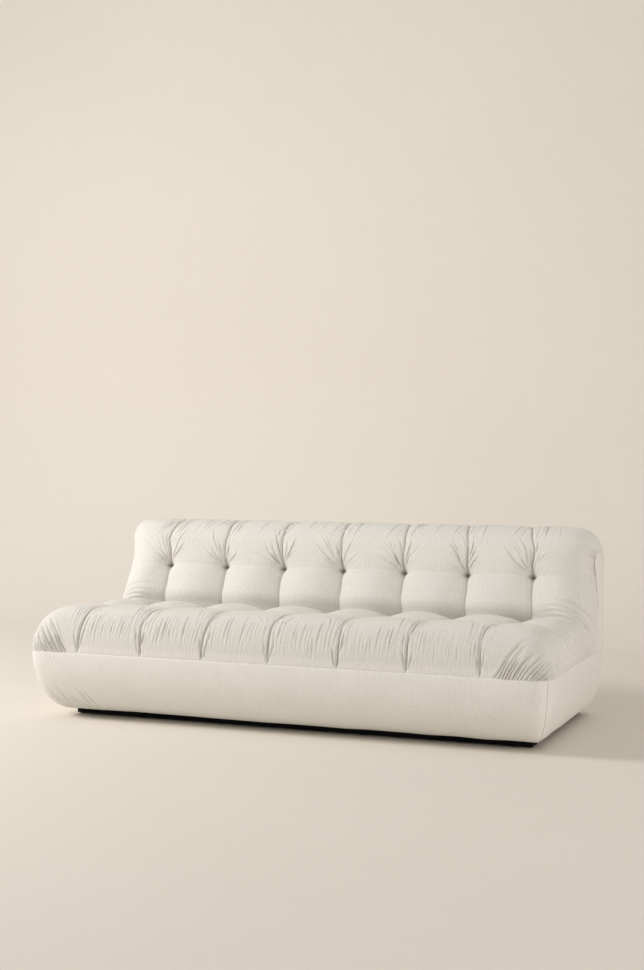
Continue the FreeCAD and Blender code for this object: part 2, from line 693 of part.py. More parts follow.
class Station:
    """A cross-section of a pad: a point on the crown, the way into the pad, and depths along it."""

    def __init__(self, y, z, into, crown, channel, side):
        self.y, self.z = y, z
        self.into = into
        self.crown, self.channel, self.side = crown, channel, side

    def point(self, x, depth):
        """The point of this section at x and a depth below the crown line."""
        return Vector(x, self.y + self.into[0] * depth, self.z + self.into[1] * depth)


def dimple(distance, reach):
    """How much of a tuft's pull is felt at a distance along the pad, from 1 at the tuft to 0."""
    share = min(1.0, abs(distance) / reach)
    return (1 - share * share) ** 2


def pad_depths(to_tuft, to_crease):
    """Crown drop and channel depth of a pillow at distances from its tuft row and from the crease."""
    pull = dimple(to_tuft, number("tuft_reach"))
    crease = max(0.0, 1 - to_crease / number("crease_reach")) ** 2
    crown = number("tuft_dip") * pull + number("crease_depth") * crease
    channel = number("channel_depth")
    channel += (number("tuft_depth") - channel) * pull
    return crown, max(channel, crown + number("pleat_depth"))


def run_positions(crease, tuft):
    """Distances from a pad's roll along its straight run: crease rounding, tuft dimple and pillow crowns."""
    reach, rounding = number("tuft_reach"), number("crease_reach")
    near = [crease - rounding * share for share in CREASE_SHARES]
    at_tuft = [tuft + reach * share for share in DIMPLE_SHARES]
    between = [(near[-1] + at_tuft[0]) / 2, at_tuft[-1] / 2]
    positions = []
    for position in sorted(near + at_tuft + between, reverse=True):
        if not positions or positions[-1] - position > LEAST_STEP:
            positions.append(position)
    return positions


def crease_station(shift_y, shift_z, side):
    """The mitred section where seat and back meet."""
    crown, channel = number("crease_depth"), number("crease_depth + pleat_depth")
    y, z = number("crease_y") + shift_y, number("seat_height") + shift_z
    return Station(y, z, (number("mitre"), -1.0), crown, channel, side)


def seat_stations():
    """Sections of the seat from the crease forward, over the front roll and down to the front seam."""
    gap, core, pleat = number("layer_gap"), number("wrap_core"), number("pleat_depth")
    roll_y, top = number("front_roll_y"), number("seat_height")
    radius, seam_z = number("front_roll_radius"), number("seam_height")
    stations = [crease_station(-gap, 0, radius)]
    runs = run_positions(number("crease_y") - roll_y, number("seat_tuft_y") - roll_y)
    for run in runs + [2 * core, 0.0]:
        crown, channel = pad_depths(roll_y + run - number("seat_tuft_y"), number("crease_y") - roll_y - run)
        side = radius if run > 0 else radius - core
        stations.append(Station(roll_y + run, top, (0.0, -1.0), crown, channel, side))
    for step in range(1, FRONT_ROLL_STEPS + 1):
        turn = math.radians(90 * step / FRONT_ROLL_STEPS)
        out_y, out_z = -math.sin(turn), math.cos(turn)
        fade = 1 - step / FRONT_ROLL_STEPS
        crown = number("seam_tuck") if step == FRONT_ROLL_STEPS else 0.0
        channel = crown + pleat + (number("channel_depth") - pleat) * fade
        y, z = roll_y + radius * out_y, seam_z + radius * out_z
        stations.append(Station(y, z, (-out_y, -out_z), crown, channel, radius - core))
    return stations


def back_stations():
    """Sections of the back from the crease up the slope, over the top roll and down to the rear seam."""
    gap, pleat = number("layer_gap"), number("pleat_depth")
    rake = math.radians(number("back_rake"))
    radius, side = number("back_roll_radius"), number("back_side_depth")
    centre_y, centre_z = number("back_roll_y"), number("back_roll_z")
    out = (-math.cos(rake), math.sin(rake))
    stations = [crease_station(gap * math.sin(rake), gap * math.cos(rake), side)]
    for run in run_positions(number("crease_run"), number("tuft_run")) + [0.0]:
        crown, channel = pad_depths(run - number("tuft_run"), number("crease_run") - run)
        y = centre_y + radius * out[0] - run * math.sin(rake)
        z = centre_z + radius * out[1] - run * math.cos(rake)
        stations.append(Station(y, z, (-out[0], -out[1]), crown, channel, side))
    front, rear = BACK_ROLL_FRONT_STEPS, BACK_ROLL_REAR_STEPS
    turns = [math.pi - rake - (math.pi / 2 - rake) * step / front for step in range(1, front + 1)]
    turns += [math.pi / 2 * (1 - step / rear) for step in range(1, rear + 1)]
    turns.append(-rake)
    for step, turn in enumerate(turns, start=1):
        out = (math.cos(turn), math.sin(turn))
        fade = 1 - step / len(turns)
        channel = pleat / 2 + (number("channel_depth") - pleat / 2) * fade
        y, z = centre_y + radius * out[0], centre_z + radius * out[1]
        stations.append(Station(y, z, (-out[0], -out[1]), 0.0, channel, side))
    return stations


def quilt_section(station):
    """Closed outline of a quilted cover at a station: pillow arcs, rounded shoulders, ends, flat inside."""
    half, inner = number("half_width"), number("half_width - side_wrap")
    shoulder, thickness = number("shoulder_radius"), number("quilt_thickness")
    crown, channel = station.crown, station.channel
    columns = [column * number("tuft_spacing") for column in tuft_columns()]
    edges = []

    def arc(first, middle, last):
        edges.append(Part.Arc(station.point(*first), station.point(*middle), station.point(*last)).toShape())

    def line(first, last):
        edges.append(Part.LineSegment(station.point(*first), station.point(*last)).toShape())

    start = half - shoulder
    fall = min(shoulder / math.hypot(*station.into), (station.side - crown) * SHOULDER_SHARE)
    knee = (half - shoulder * (1 - math.sqrt(0.5)), crown + fall * (1 - math.sqrt(0.5)))
    swell = crown + (channel - crown) * END_SWELL
    line((-half, station.side), (-half, crown + fall))
    arc((-half, crown + fall), (-knee[0], knee[1]), (-start, crown))
    arc((-start, crown), ((columns[0] - start) / 2, swell), (columns[0], channel))
    for left, right in zip(columns, columns[1:]):
        arc((left, channel), ((left + right) / 2, crown), (right, channel))
    arc((columns[-1], channel), ((columns[-1] + start) / 2, swell), (start, crown))
    arc((start, crown), knee, (half, crown + fall))
    line((half, crown + fall), (half, station.side))
    line((half, station.side), (inner, station.side))
    line((inner, station.side), (inner, thickness))
    line((inner, thickness), (-inner, thickness))
    line((-inner, thickness), (-inner, station.side))
    line((-inner, station.side), (-half, station.side))
    return Part.Wire(edges)


def quilted_cover(label, stations):
    """A quilted cover lofted through its stations."""
    sections = [quilt_section(station) for station in stations]
    holder = document.addObject("Part::Feature", f"{label}_loft")
    holder.Shape = Part.makeLoft(sections, True, True)
    return node(holder, label)


def foam_block(name, outline, tools):
    """Foam of one side outline over the whole inner width, with holes for the twines."""
    half = number("inner_half_width")
    points = [Vector(-half, y, z) for y, z in outline]
    face = Part.Face(Part.makePolygon(points + points[:1]))
    holder = document.addObject("Part::Feature", f"{name}_blank")
    holder.Shape = face.extrude(Vector(2 * half, 0, 0))
    return node(cut(f"{name}_bored", holder, tools), name)


def yz(point):
    """The Y and Z of a point."""
    return point.y, point.z


def make_upholstery():
    """Foam cores and the quilted covers of seat and back."""
    seat, back = seat_stations(), back_stations()
    quilted_cover("seat_cover", seat)
    quilted_cover("back_cover", back)
    gap = number("layer_gap")
    outer = number("quilt_thickness") + gap
    seat_inner, back_inner = number("seat_foam_depth"), number("back_foam_depth")
    rear_offset = number("(back_foam_depth - seat_foam_depth * rake_sin) / rake_cos")
    roll = seat[-FRONT_ROLL_STEPS - 1:]
    outline = [yz(station.point(0, outer)) for station in seat]
    outline += [yz(station.point(0, seat_inner)) for station in reversed(roll)]
    outline.append((number("crease_y") + rear_offset - gap, number("foam_bottom")))
    outline.append(yz(seat[0].point(0, back_inner)))
    foam_block("seat_foam", outline, seat_twine_holes("seat_foam"))
    outline = [yz(station.point(0, outer)) for station in back]
    roll_steps = BACK_ROLL_FRONT_STEPS + BACK_ROLL_REAR_STEPS + 2
    outline += [yz(station.point(0, back_inner)) for station in reversed(back[-roll_steps:])]
    outline.append(yz(back[0].point(0, back_inner)))
    foam_block("back_foam", outline, back_twine_holes("back_foam"))


# Base upholstery


def loft_through(name, sections):
    """A solid lofted through sections, each a closed run of points given as three expressions."""
    wires = []
    for section in sections:
        corners = [Vector(*(number(text) for text in point)) for point in section]
        wires.append(Part.makePolygon(corners + corners[:1]))
    made = document.addObject("Part::Feature", name)
    made.Shape = Part.makeLoft(wires, True, True)
    return made


def flat_section(low_x, high_x, low_y, high_y, z):
    """A level rectangle."""
    return [(low_x, low_y, z), (high_x, low_y, z), (high_x, high_y, z), (low_x, high_y, z)]


def make_base_upholstery():
    """Front band over foam, end panels over foam, and the rear panel."""
    cloth, gap = "fabric_thickness", "(fabric_thickness + layer_gap)"
    band, foam = [], []
    for turn in HULL_TURNS:
        half = hull_x(turn, "0")
        corners = [(half, hull_y(turn, depth), hull_z(turn, depth)) for depth in ("0", cloth)]
        band.append(corners + [(f"-{x}", y, z) for x, y, z in reversed(corners)])
        half, z = hull_x(turn, gap), hull_z(turn, gap)
        foam.append(flat_section(f"-{half}", half, hull_y(turn, gap), front_y(z, "facing_depth"), z))
    node(loft_through("front_band_cloth", band), "front_band")
    node(loft_through("front_band_foam", foam), "front_foam")
    for side, sign in SIDES.items():
        make_base_end(side, sign)
        make_back_end(side, sign)
    make_rear_cloth()


def behind_band(height):
    """Y just behind the front band's inner face at a height, as an expression."""
    turns = list(reversed(HULL_TURNS))
    level = number(height)
    heights = [number(hull_z(turn, "fabric_thickness")) for turn in turns]
    depths = [number(hull_y(turn, "fabric_thickness")) for turn in turns]
    facet = next((at for at, top in enumerate(heights[1:]) if level <= top), len(heights) - 2)
    share = max(0.0, (level - heights[facet]) / (heights[facet + 1] - heights[facet]))
    return f"({depths[facet] + share * (depths[facet + 1] - depths[facet]):.4f} + layer_gap)"


def make_base_end(side, sign):
    """Rounded foam and cloth panel on one end of the base."""
    cloth, gap = "fabric_thickness", "(fabric_thickness + layer_gap)"
    rear = "rear_y + rear_board_thickness"
    panel, foam = [], []
    for turn in HULL_TURNS:
        edge = [(f"{sign} * {hull_x(turn, depth)}", hull_z(turn, depth)) for depth in ("0", cloth)]
        corners = [(x, behind_band(z), z) for x, z in edge]
        panel.append(corners + [(x, rear, z) for x, z in reversed(edge)])
        z = hull_z(turn, gap)
        near, far = f"{sign} * rib_outer", f"{sign} * {hull_x(turn, gap)}"
        foam.append(flat_section(near, far, front_y(z, "facing_depth + layer_gap"), "rear_y", z))
    node(loft_through(f"{side}_end_cloth", panel), f"{side}_end_panel")
    node(loft_through(f"{side}_end_foam", foam), f"{side}_base_foam")


def back_end_outline(rear):
    """Side outline of the back's end behind the quilted cover's wrap, up to a rear plane."""
    wrap = "(back_side_depth + layer_gap)"
    return [
        (back_y("layer_gap", wrap), back_z("layer_gap", wrap)),
        (rear, f"back_roll_z - (({rear} - back_roll_y) * rake_sin + layer_gap) / rake_cos"),
        (rear, "seam_height"),
        ("crease_y + mitre * front_roll_radius + layer_gap", "seam_height"),
        (f"crease_y + mitre * {wrap} + layer_gap", f"seat_height - {wrap}"),
    ]


def make_back_end(side, sign):
    """Foam and cloth on the rear half of the back's end."""
    lining = "(half_width - fabric_thickness)"
    pieces = {
        "back_end_foam": ("rib_outer", lining, "rear_y"),
        "back_end_panel": (lining, "half_width", "(rear_y + rear_board_thickness)"),
    }
    for name, (near, far, rear) in pieces.items():
        body = outline_body(f"{side}_{name}_body", back_end_outline(rear), "YZ_Plane", f"{far} - {near}")
        place(body, f"{sign} * ({near} + {far}) / 2", "0", "0")
        node(body, f"{side}_{name}")


def check_and_export():
    """Checks every object, then writes one STEP file per sub-part."""
    document.recompute()
    failed = [item.Label for item in document.Objects if {"Invalid", "Error"} & set(item.State)]
    failed += [item.Label for item in NODES if item.Shape.isNull() or not item.Shape.isValid()]
    failed += [item.Label for item in NODES if not item.Shape.Solids]
    if failed:
        raise RuntimeError(f"failed objects: {failed}")
    os.makedirs("parts", exist_ok=True)
    for item in NODES:
        item.Shape.exportStep(f"parts/{item.Label}.step")
    print(f"{len(NODES)} sub-parts")


def main():
    """Builds the sofa from the floor up."""
    fill_sheet()
    make_plinth()
    make_ribs()
    make_rails()
    make_top_roll()
    make_boards()
    make_brackets()
    make_springs()
    make_webbing()
    make_tuft_ties()
    make_upholstery()
    make_base_upholstery()
    check_and_export()


main()
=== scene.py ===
"""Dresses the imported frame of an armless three-seat sofa in tufted ivory corduroy."""

from __future__ import annotations

import json
import logging
import math
from dataclasses import dataclass, field
from enum import Enum

import bpy
import numpy as np
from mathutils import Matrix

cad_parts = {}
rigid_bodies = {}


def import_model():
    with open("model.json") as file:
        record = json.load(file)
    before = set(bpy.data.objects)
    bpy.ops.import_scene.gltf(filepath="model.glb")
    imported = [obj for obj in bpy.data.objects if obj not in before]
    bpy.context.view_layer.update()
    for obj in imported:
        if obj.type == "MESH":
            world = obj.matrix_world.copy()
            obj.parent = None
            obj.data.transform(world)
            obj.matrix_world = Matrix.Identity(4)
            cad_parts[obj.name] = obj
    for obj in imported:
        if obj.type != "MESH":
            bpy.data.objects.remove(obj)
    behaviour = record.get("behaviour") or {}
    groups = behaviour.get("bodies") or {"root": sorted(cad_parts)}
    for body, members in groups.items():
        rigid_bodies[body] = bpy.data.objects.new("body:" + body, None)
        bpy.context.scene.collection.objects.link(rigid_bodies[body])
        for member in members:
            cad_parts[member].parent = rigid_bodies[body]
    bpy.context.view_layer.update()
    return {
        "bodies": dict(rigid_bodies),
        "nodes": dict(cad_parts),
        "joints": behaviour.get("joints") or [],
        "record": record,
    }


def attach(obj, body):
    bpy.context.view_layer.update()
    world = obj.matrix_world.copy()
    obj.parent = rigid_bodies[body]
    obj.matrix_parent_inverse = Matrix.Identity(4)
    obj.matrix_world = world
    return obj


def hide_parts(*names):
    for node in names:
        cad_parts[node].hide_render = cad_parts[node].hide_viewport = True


LOG = logging.getLogger("sofa")
BODY = "root"

Colour = tuple[float, float, float, float]

NOISE_POINTS = 4096
# Painted shade: how deep a crease, tuft or fold must lie to be drawn dark.
CREASE_SCALE = 0.0155
CREASE_POWER = 1.3
FOLD_WEIGHT = 1.4
CREASE_TUCK = 0.035
# Painted shade near the crease between seat and back.
CREASE_DARK = 0.42
CREASE_DARK_REACH = 0.030


class Side(Enum):
    """The two ends of the sofa, as seen from the front."""

    LEFT = -1.0
    RIGHT = 1.0

    @property
    def word(self) -> str:
        """The name that pieces on this end start with."""
        return self.name.lower()


@dataclass(frozen=True)
class SofaSizes:
    """Sizes of the sofa in metres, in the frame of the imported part."""

    half_width: float = 1.070
    front_y: float = -0.510
    rear_y: float = 0.510
    seat_height: float = 0.452
    seam_height: float = 0.280
    foot_height: float = 0.028
    foot_half: float = 0.980
    foot_front_y: float = -0.305
    band_top_half: float = 1.0695
    band_top_y: float = -0.5092
    crease_y: float = 0.1616
    rake: float = math.radians(21.0)
    top_centre: tuple[float, float] = (0.377, 0.642)
    top_radius: float = 0.133
    rear_seam_height: float = 0.590
    seat_tuft_y: float = -0.110
    tuft_spacing: float = 0.275
    tuft_count: int = 7
    mitre: float = 0.6875
    corner_power: float = 5.2
    rear_round: float = 0.080

    @property
    def columns(self) -> np.ndarray:
        """X of each tuft column, from left to right."""
        middle = (self.tuft_count - 1) / 2
        return (np.arange(self.tuft_count) - middle) * self.tuft_spacing


@dataclass(frozen=True)
class LineNoise:
    """Smooth seeded noise along a line."""

    seed: int

    def at(self, where: np.ndarray, pitch: float) -> np.ndarray:
        """Reads the noise.

        Args:
            where: Places along the line, in metres or any other unit.
            pitch: Distance between the noise's own points, in that unit.

        Returns:
            Values from -1 to 1, shaped as where.
        """
        table = np.random.default_rng(self.seed).uniform(-1.0, 1.0, NOISE_POINTS)
        place = np.asarray(where) / pitch + NOISE_POINTS / 2
        low = np.floor(place).astype(int)
        share = place - low
        ease = share * share * (3.0 - 2.0 * share)
        return table[low % NOISE_POINTS] * (1.0 - ease) + table[(low + 1) % NOISE_POINTS] * ease


def smooth_step(low: float, high: float, value: np.ndarray) -> np.ndarray:
    """Eases from 0 to 1.

    Args:
        low: Value at which the step starts.
        high: Value at which it ends.
        value: Where it is read.

    Returns:
        The step, shaped as value.
    """
    share = np.clip((value - low) / (high - low), 0.0, 1.0)
    return share * share * (3.0 - 2.0 * share)


def between_ends(across: np.ndarray) -> np.ndarray:
    """1 along most of a cover, easing to 0 at the sofa's two ends, by run across the cover."""
    return 1.0 - smooth_step(0.88, 1.06, np.abs(across))


def crease_shade(distance: np.ndarray, across: np.ndarray) -> np.ndarray:
    """Painted shade: how dark the cloth is drawn near the crease between seat and back.

    Args:
        distance: Run from the crease, in metres.
        across: Run across the cover.

    Returns:
        A share from 0, open, to 1, hidden.
    """
    return CREASE_DARK * np.exp(-distance / CREASE_DARK_REACH) * between_ends(across)


@dataclass(frozen=True)
class EdgeRoll:
    """A quarter of a squarish ellipse, read by its length from the crown to the edge."""

    power: float

    def at(self, share: np.ndarray) -> tuple[np.ndarray, np.ndarray]:
        """Reads the roll.

        Args:
            share: Length from the crown, as a share of the whole.

        Returns:
            Outward reach and remaining rise, each from 0 to 1.
        """
        turn = np.linspace(0.0, math.pi / 2, 1441)
        reach = np.sin(turn) ** (2.0 / self.power)
        rise = np.cos(turn) ** (2.0 / self.power)
        steps = np.hypot(np.diff(reach), np.diff(rise))
        length = np.concatenate([[0.0], np.cumsum(steps)])
        length /= length[-1]
        return np.interp(share, length, reach), np.interp(share, length, rise)


def rounded_corner(front: np.ndarray, end: np.ndarray,
                   power: np.ndarray | float) -> tuple[np.ndarray, np.ndarray, np.ndarray]:
    """Rounds the corner between a front edge and an end edge.

    Args:
        front: Share of the way to the front edge, from 0 to 1.
        end: Share of the way to the end edge, from 0 to 1.
        power: 2 for an elliptic corner, more for a squarer one.

    Returns:
        Share of the way to the nearest edge, and direction of the point towards the front and the end.
    """
    edge = np.sqrt(1.0 - (1.0 - front ** 2) * (1.0 - end ** 2))
    size = np.maximum((front ** power + end ** power) ** (1.0 / power), 1e-9)
    return edge, front / size, end / size


def run_grid(half: float, low: float, high: float, cell: float,
             step: int) -> tuple[np.ndarray, np.ndarray]:
    """Spreads a grid over a cover.

    Args:
        half: Run across the cover from its middle to its end seam.
        low: Run along the cover at the first row.
        high: Run along the cover at the last row.
        cell: Distance between the grid's points.
        step: Number that the rows and columns are a multiple of.

    Returns:
        Run across and run along the cover, for each row and column.
    """
    rows = round((high - low) / cell / step) * step + 1
    columns = round(2.0 * half / cell / step) * step + 1
    across, along = np.meshgrid(np.linspace(-half, half, columns), np.linspace(low, high, rows))
    return across, along


def widest(values: np.ndarray, reach: int) -> np.ndarray:
    """Finds the largest value near each point of a grid.

    Args:
        values: Grid of rows and columns.
        reach: How many rows and columns away a value counts.

    Returns:
        A grid of the same shape.
    """
    result = values
    for axis in (0, 1):
        margin = [(reach, reach) if at == axis else (0, 0) for at in (0, 1)]
        wide = np.pad(result, margin, mode="edge")
        result = np.lib.stride_tricks.sliding_window_view(wide, 2 * reach + 1, axis=axis).max(axis=-1)
    return result


def grid_normals(points: np.ndarray) -> np.ndarray:
    """Works out the unit normals of a grid of points.

    Args:
        points: Grid of rows, columns and three coordinates.

    Returns:
        Normals in the same shape, from the product of the column and row directions.
    """
    along = np.gradient(points, axis=0)
    across = np.gradient(points, axis=1)
    normal = np.cross(across, along)
    return normal / np.maximum(np.linalg.norm(normal, axis=2, keepdims=True), 1e-9)


@dataclass
class ClothGrid:
    """A grid of points on cloth, with its flat cut, its painted shade by depth in creases and where its ribs
    run crosswise.
    """

    points: np.ndarray
    flat_u: np.ndarray
    flat_v: np.ndarray
    hollow: np.ndarray | None = None
    turned: np.ndarray | None = None

    def quads(self, first: int, flip: bool) -> list[tuple[int, int, int, int]]:
        """Lists the grid's faces.

        Args:
            first: Index of the grid's first vertex in its mesh.
            flip: True to turn the faces over.

        Returns:
            Four vertex indices for each face.
        """
        rows, columns = self.points.shape[:2]
        index = first + np.arange(rows * columns).reshape(rows, columns)
        corners = [index[:-1, :-1], index[:-1, 1:], index[1:, 1:], index[1:, :-1]]
        if flip:
            corners.reverse()
        return list(zip(*(corner.ravel().tolist() for corner in corners)))

    def rim(self, first: int) -> np.ndarray:
        """The indices of the grid's border vertices, in order round it."""
        rows, columns = self.points.shape[:2]
        index = first + np.arange(rows * columns).reshape(rows, columns)
        return np.concatenate([index[0, :-1], index[:-1, -1], index[-1, :0:-1], index[:0:-1, 0]])

    def thinned(self, step: int) -> ClothGrid:
        """The same cloth with each step-th row and column only, and no creases."""
        part = (slice(None, None, step), slice(None, None, step))
        return ClothGrid(self.points[part], self.flat_u[part], self.flat_v[part])

    def moved(self, distance: np.ndarray | float, hollow: np.ndarray | None = None) -> ClothGrid:
        """Moves the cloth along its normals.

        Args:
            distance: How far each point moves outwards.
            hollow: How dark each point is drawn, as painted shade from 0 to 1, by how deep it then lies in a
                crease.

        Returns:
            The moved cloth, with the same flat cut.
        """
        shift = np.asarray(distance)
        shift = shift[..., None] if shift.ndim else shift
        points = self.points + grid_normals(self.points) * shift
        return ClothGrid(points, self.flat_u, self.flat_v, hollow, self.turned)


class MeshMaker:
    """Turns grids of points into mesh objects at the origin."""

    @staticmethod
    def link(name: str, mesh: bpy.types.Mesh) -> bpy.types.Object:
        """Puts a mesh into the scene under a name, with smooth faces."""
        mesh.validate()
        mesh.polygons.foreach_set("use_smooth", [True] * len(mesh.polygons))
        made = bpy.data.objects.new(name, mesh)
        bpy.context.scene.collection.objects.link(made)
        return made

    @staticmethod
    def lay_flat(mesh: bpy.types.Mesh, flat: np.ndarray, turned: np.ndarray | None = None) -> None:
        """Stores each vertex's place on the flat cut as the mesh's UV map.

        Args:
            mesh: The mesh.
            flat: Place of each vertex.
            turned: Grid of the vertices whose faces, the mesh's first, have their ribs crosswise.
        """
        corners = np.empty(len(mesh.loops), dtype=np.int32)
        mesh.loops.foreach_get("vertex_index", corners)
        place = flat[corners]
        if turned is not None:
            crosswise = np.flatnonzero(np.repeat(turned[:-1, :-1].ravel(), 4))
            place[crosswise] = place[crosswise, ::-1]
        layer = mesh.uv_layers.new(name="flat_cut")
        layer.uv.foreach_set("vector", place.ravel().astype(np.float32))

    @classmethod
    def closed(cls, name: str, outer: ClothGrid, inner: ClothGrid, step: int) -> bpy.types.Object:
        """Makes a closed form of an outer cloth and a coarser inner one.

        Args:
            name: Name of the object.
            outer: The cloth that shows.
            inner: The cloth behind it, a grid of the same shape.
            step: The inner cloth keeps each step-th row and column.

        Returns:
            The object, with the flat cut as its UV map.
        """
        back = inner.thinned(step)
        first = outer.points.shape[0] * outer.points.shape[1]
        vertices = np.concatenate([outer.points.reshape(-1, 3), back.points.reshape(-1, 3)])
        faces: list[tuple[int, ...]] = [*outer.quads(0, False), *back.quads(first, True)]
        fine, coarse = outer.rim(0), back.rim(first)
        count = len(fine)
        for at in range(count):
            after = (at + 1) % count
            near, far = coarse[at // step % len(coarse)], coarse[(at + 1) // step % len(coarse)]
            face = (fine[after], fine[at], near, far) if near != far else (fine[after], fine[at], near)
            faces.append(tuple(int(corner) for corner in face))
        mesh = bpy.data.meshes.new(name)
        mesh.from_pydata(vertices.tolist(), [], faces)
        flat = np.concatenate([
            np.stack([cloth.flat_u, cloth.flat_v], axis=2).reshape(-1, 2) for cloth in (outer, back)
        ])
        cls.lay_flat(mesh, flat, outer.turned)
        # Painted shade: the outer face's share goes to a point attribute that darkens its colour; the hidden
        # inner face gets full shade.
        if outer.hollow is not None:
            hidden = np.ones(len(back.points) * len(back.points[0]))
            depth = np.concatenate([outer.hollow.ravel(), hidden]).astype(np.float32)
            mesh.attributes.new("hollow", "FLOAT", "POINT").data.foreach_set("value", depth)
        return cls.link(name, mesh)

    @classmethod
    def cloth(cls, name: str, grid: ClothGrid, thickness: float) -> bpy.types.Object:
        """Makes a sheet of cloth of even thickness, its outer face on the grid."""
        return cls.closed(name, grid, grid.moved(-thickness), 1)

    @classmethod
    def tube(cls, name: str, path: np.ndarray, radius: float, loop: bool) -> bpy.types.Object:
        """Makes a round welt along a path.

        Args:
            name: Name of the object.
            path: Points along the welt's middle.
            radius: Radius of the welt.
            loop: True where the path's end joins its start.

        Returns:
            The object, with the run along the welt as its UV map.
        """
        if loop:
            ahead = np.roll(path, -1, axis=0) - np.roll(path, 1, axis=0)
        else:
            ahead = np.gradient(path, axis=0)
        ahead = ahead / np.linalg.norm(ahead, axis=1, keepdims=True)
        aside = np.cross(ahead, (0.0, 0.0, 1.0) if loop else (1.0, 0.0, 0.0))
        aside = aside / np.linalg.norm(aside, axis=1, keepdims=True)
        above = np.cross(aside, ahead)
        turn = np.linspace(0.0, 2.0 * math.pi, 10, endpoint=False)
        out, up = np.cos(turn)[None, :, None], np.sin(turn)[None, :, None]
        points = path[:, None, :] + radius * (out * aside[:, None, :] + up * above[:, None, :])
        count, sides = points.shape[:2]
        index = np.arange(count * sides).reshape(count, sides)
        if loop:
            index = np.concatenate([index, index[:1]])
        index = np.concatenate([index, index[:, :1]], axis=1)
        corners = (index[:-1, :-1], index[:-1, 1:], index[1:, 1:], index[1:, :-1])
        faces: list[tuple[int, ...]] = list(zip(*(corner.ravel().tolist() for corner in corners)))
        if not loop:
            faces += [tuple(range(sides - 1, -1, -1)), tuple(range((count - 1) * sides, count * sides))]
        mesh = bpy.data.meshes.new(name)
        mesh.from_pydata(points.reshape(-1, 3).tolist(), [], faces)
        run = np.concatenate([[0.0], np.cumsum(np.linalg.norm(np.diff(path, axis=0), axis=1))])
        flat = np.stack(np.meshgrid(run, turn * radius, indexing="ij")[::-1], axis=2).reshape(-1, 2)
        cls.lay_flat(mesh, flat)
        return cls.link(name, mesh)


@dataclass(frozen=True)
class Fold:
    """A fold in the cloth: a groove with a soft ridge beside it, along a slightly bowed line."""

    start: tuple[float, float]
    end: tuple[float, float]
    depth: float
    width: float
    bow: float = 0.0
    ridge: float = 0.6

    def height(self, across: np.ndarray, along: np.ndarray) -> np.ndarray:
        """Reads the fold.

        Args:
            across: Run across the cover.
            along: Run along the cover.

        Returns:
            Height that the fold adds, in metres.
        """
        first, last = np.array(self.start), np.array(self.end)
        length = float(np.linalg.norm(last - first))
        line = (last - first) / length
        share = ((across - first[0]) * line[0] + (along - first[1]) * line[1]) / length
        off = (across - first[0]) * line[1] - (along - first[1]) * line[0]
        off = off - self.bow * 4.0 * share * (1.0 - share)
        inside = np.clip(share, 0.0, 1.0)
        taper = smooth_step(0.0, 0.14, inside) * (1.0 - smooth_step(0.55, 1.0, inside))
        wide = self.width * (0.8 + 0.5 * inside)
        groove = np.exp(-((off / wide) ** 2))
        beside, spread = 1.7 * wide, 1.2 * wide
        ridge = np.exp(-(((off - beside) / spread) ** 2)) + np.exp(-(((off + beside) / spread) ** 2))
        return self.depth * taper * (0.5 * self.ridge * ridge - groove)


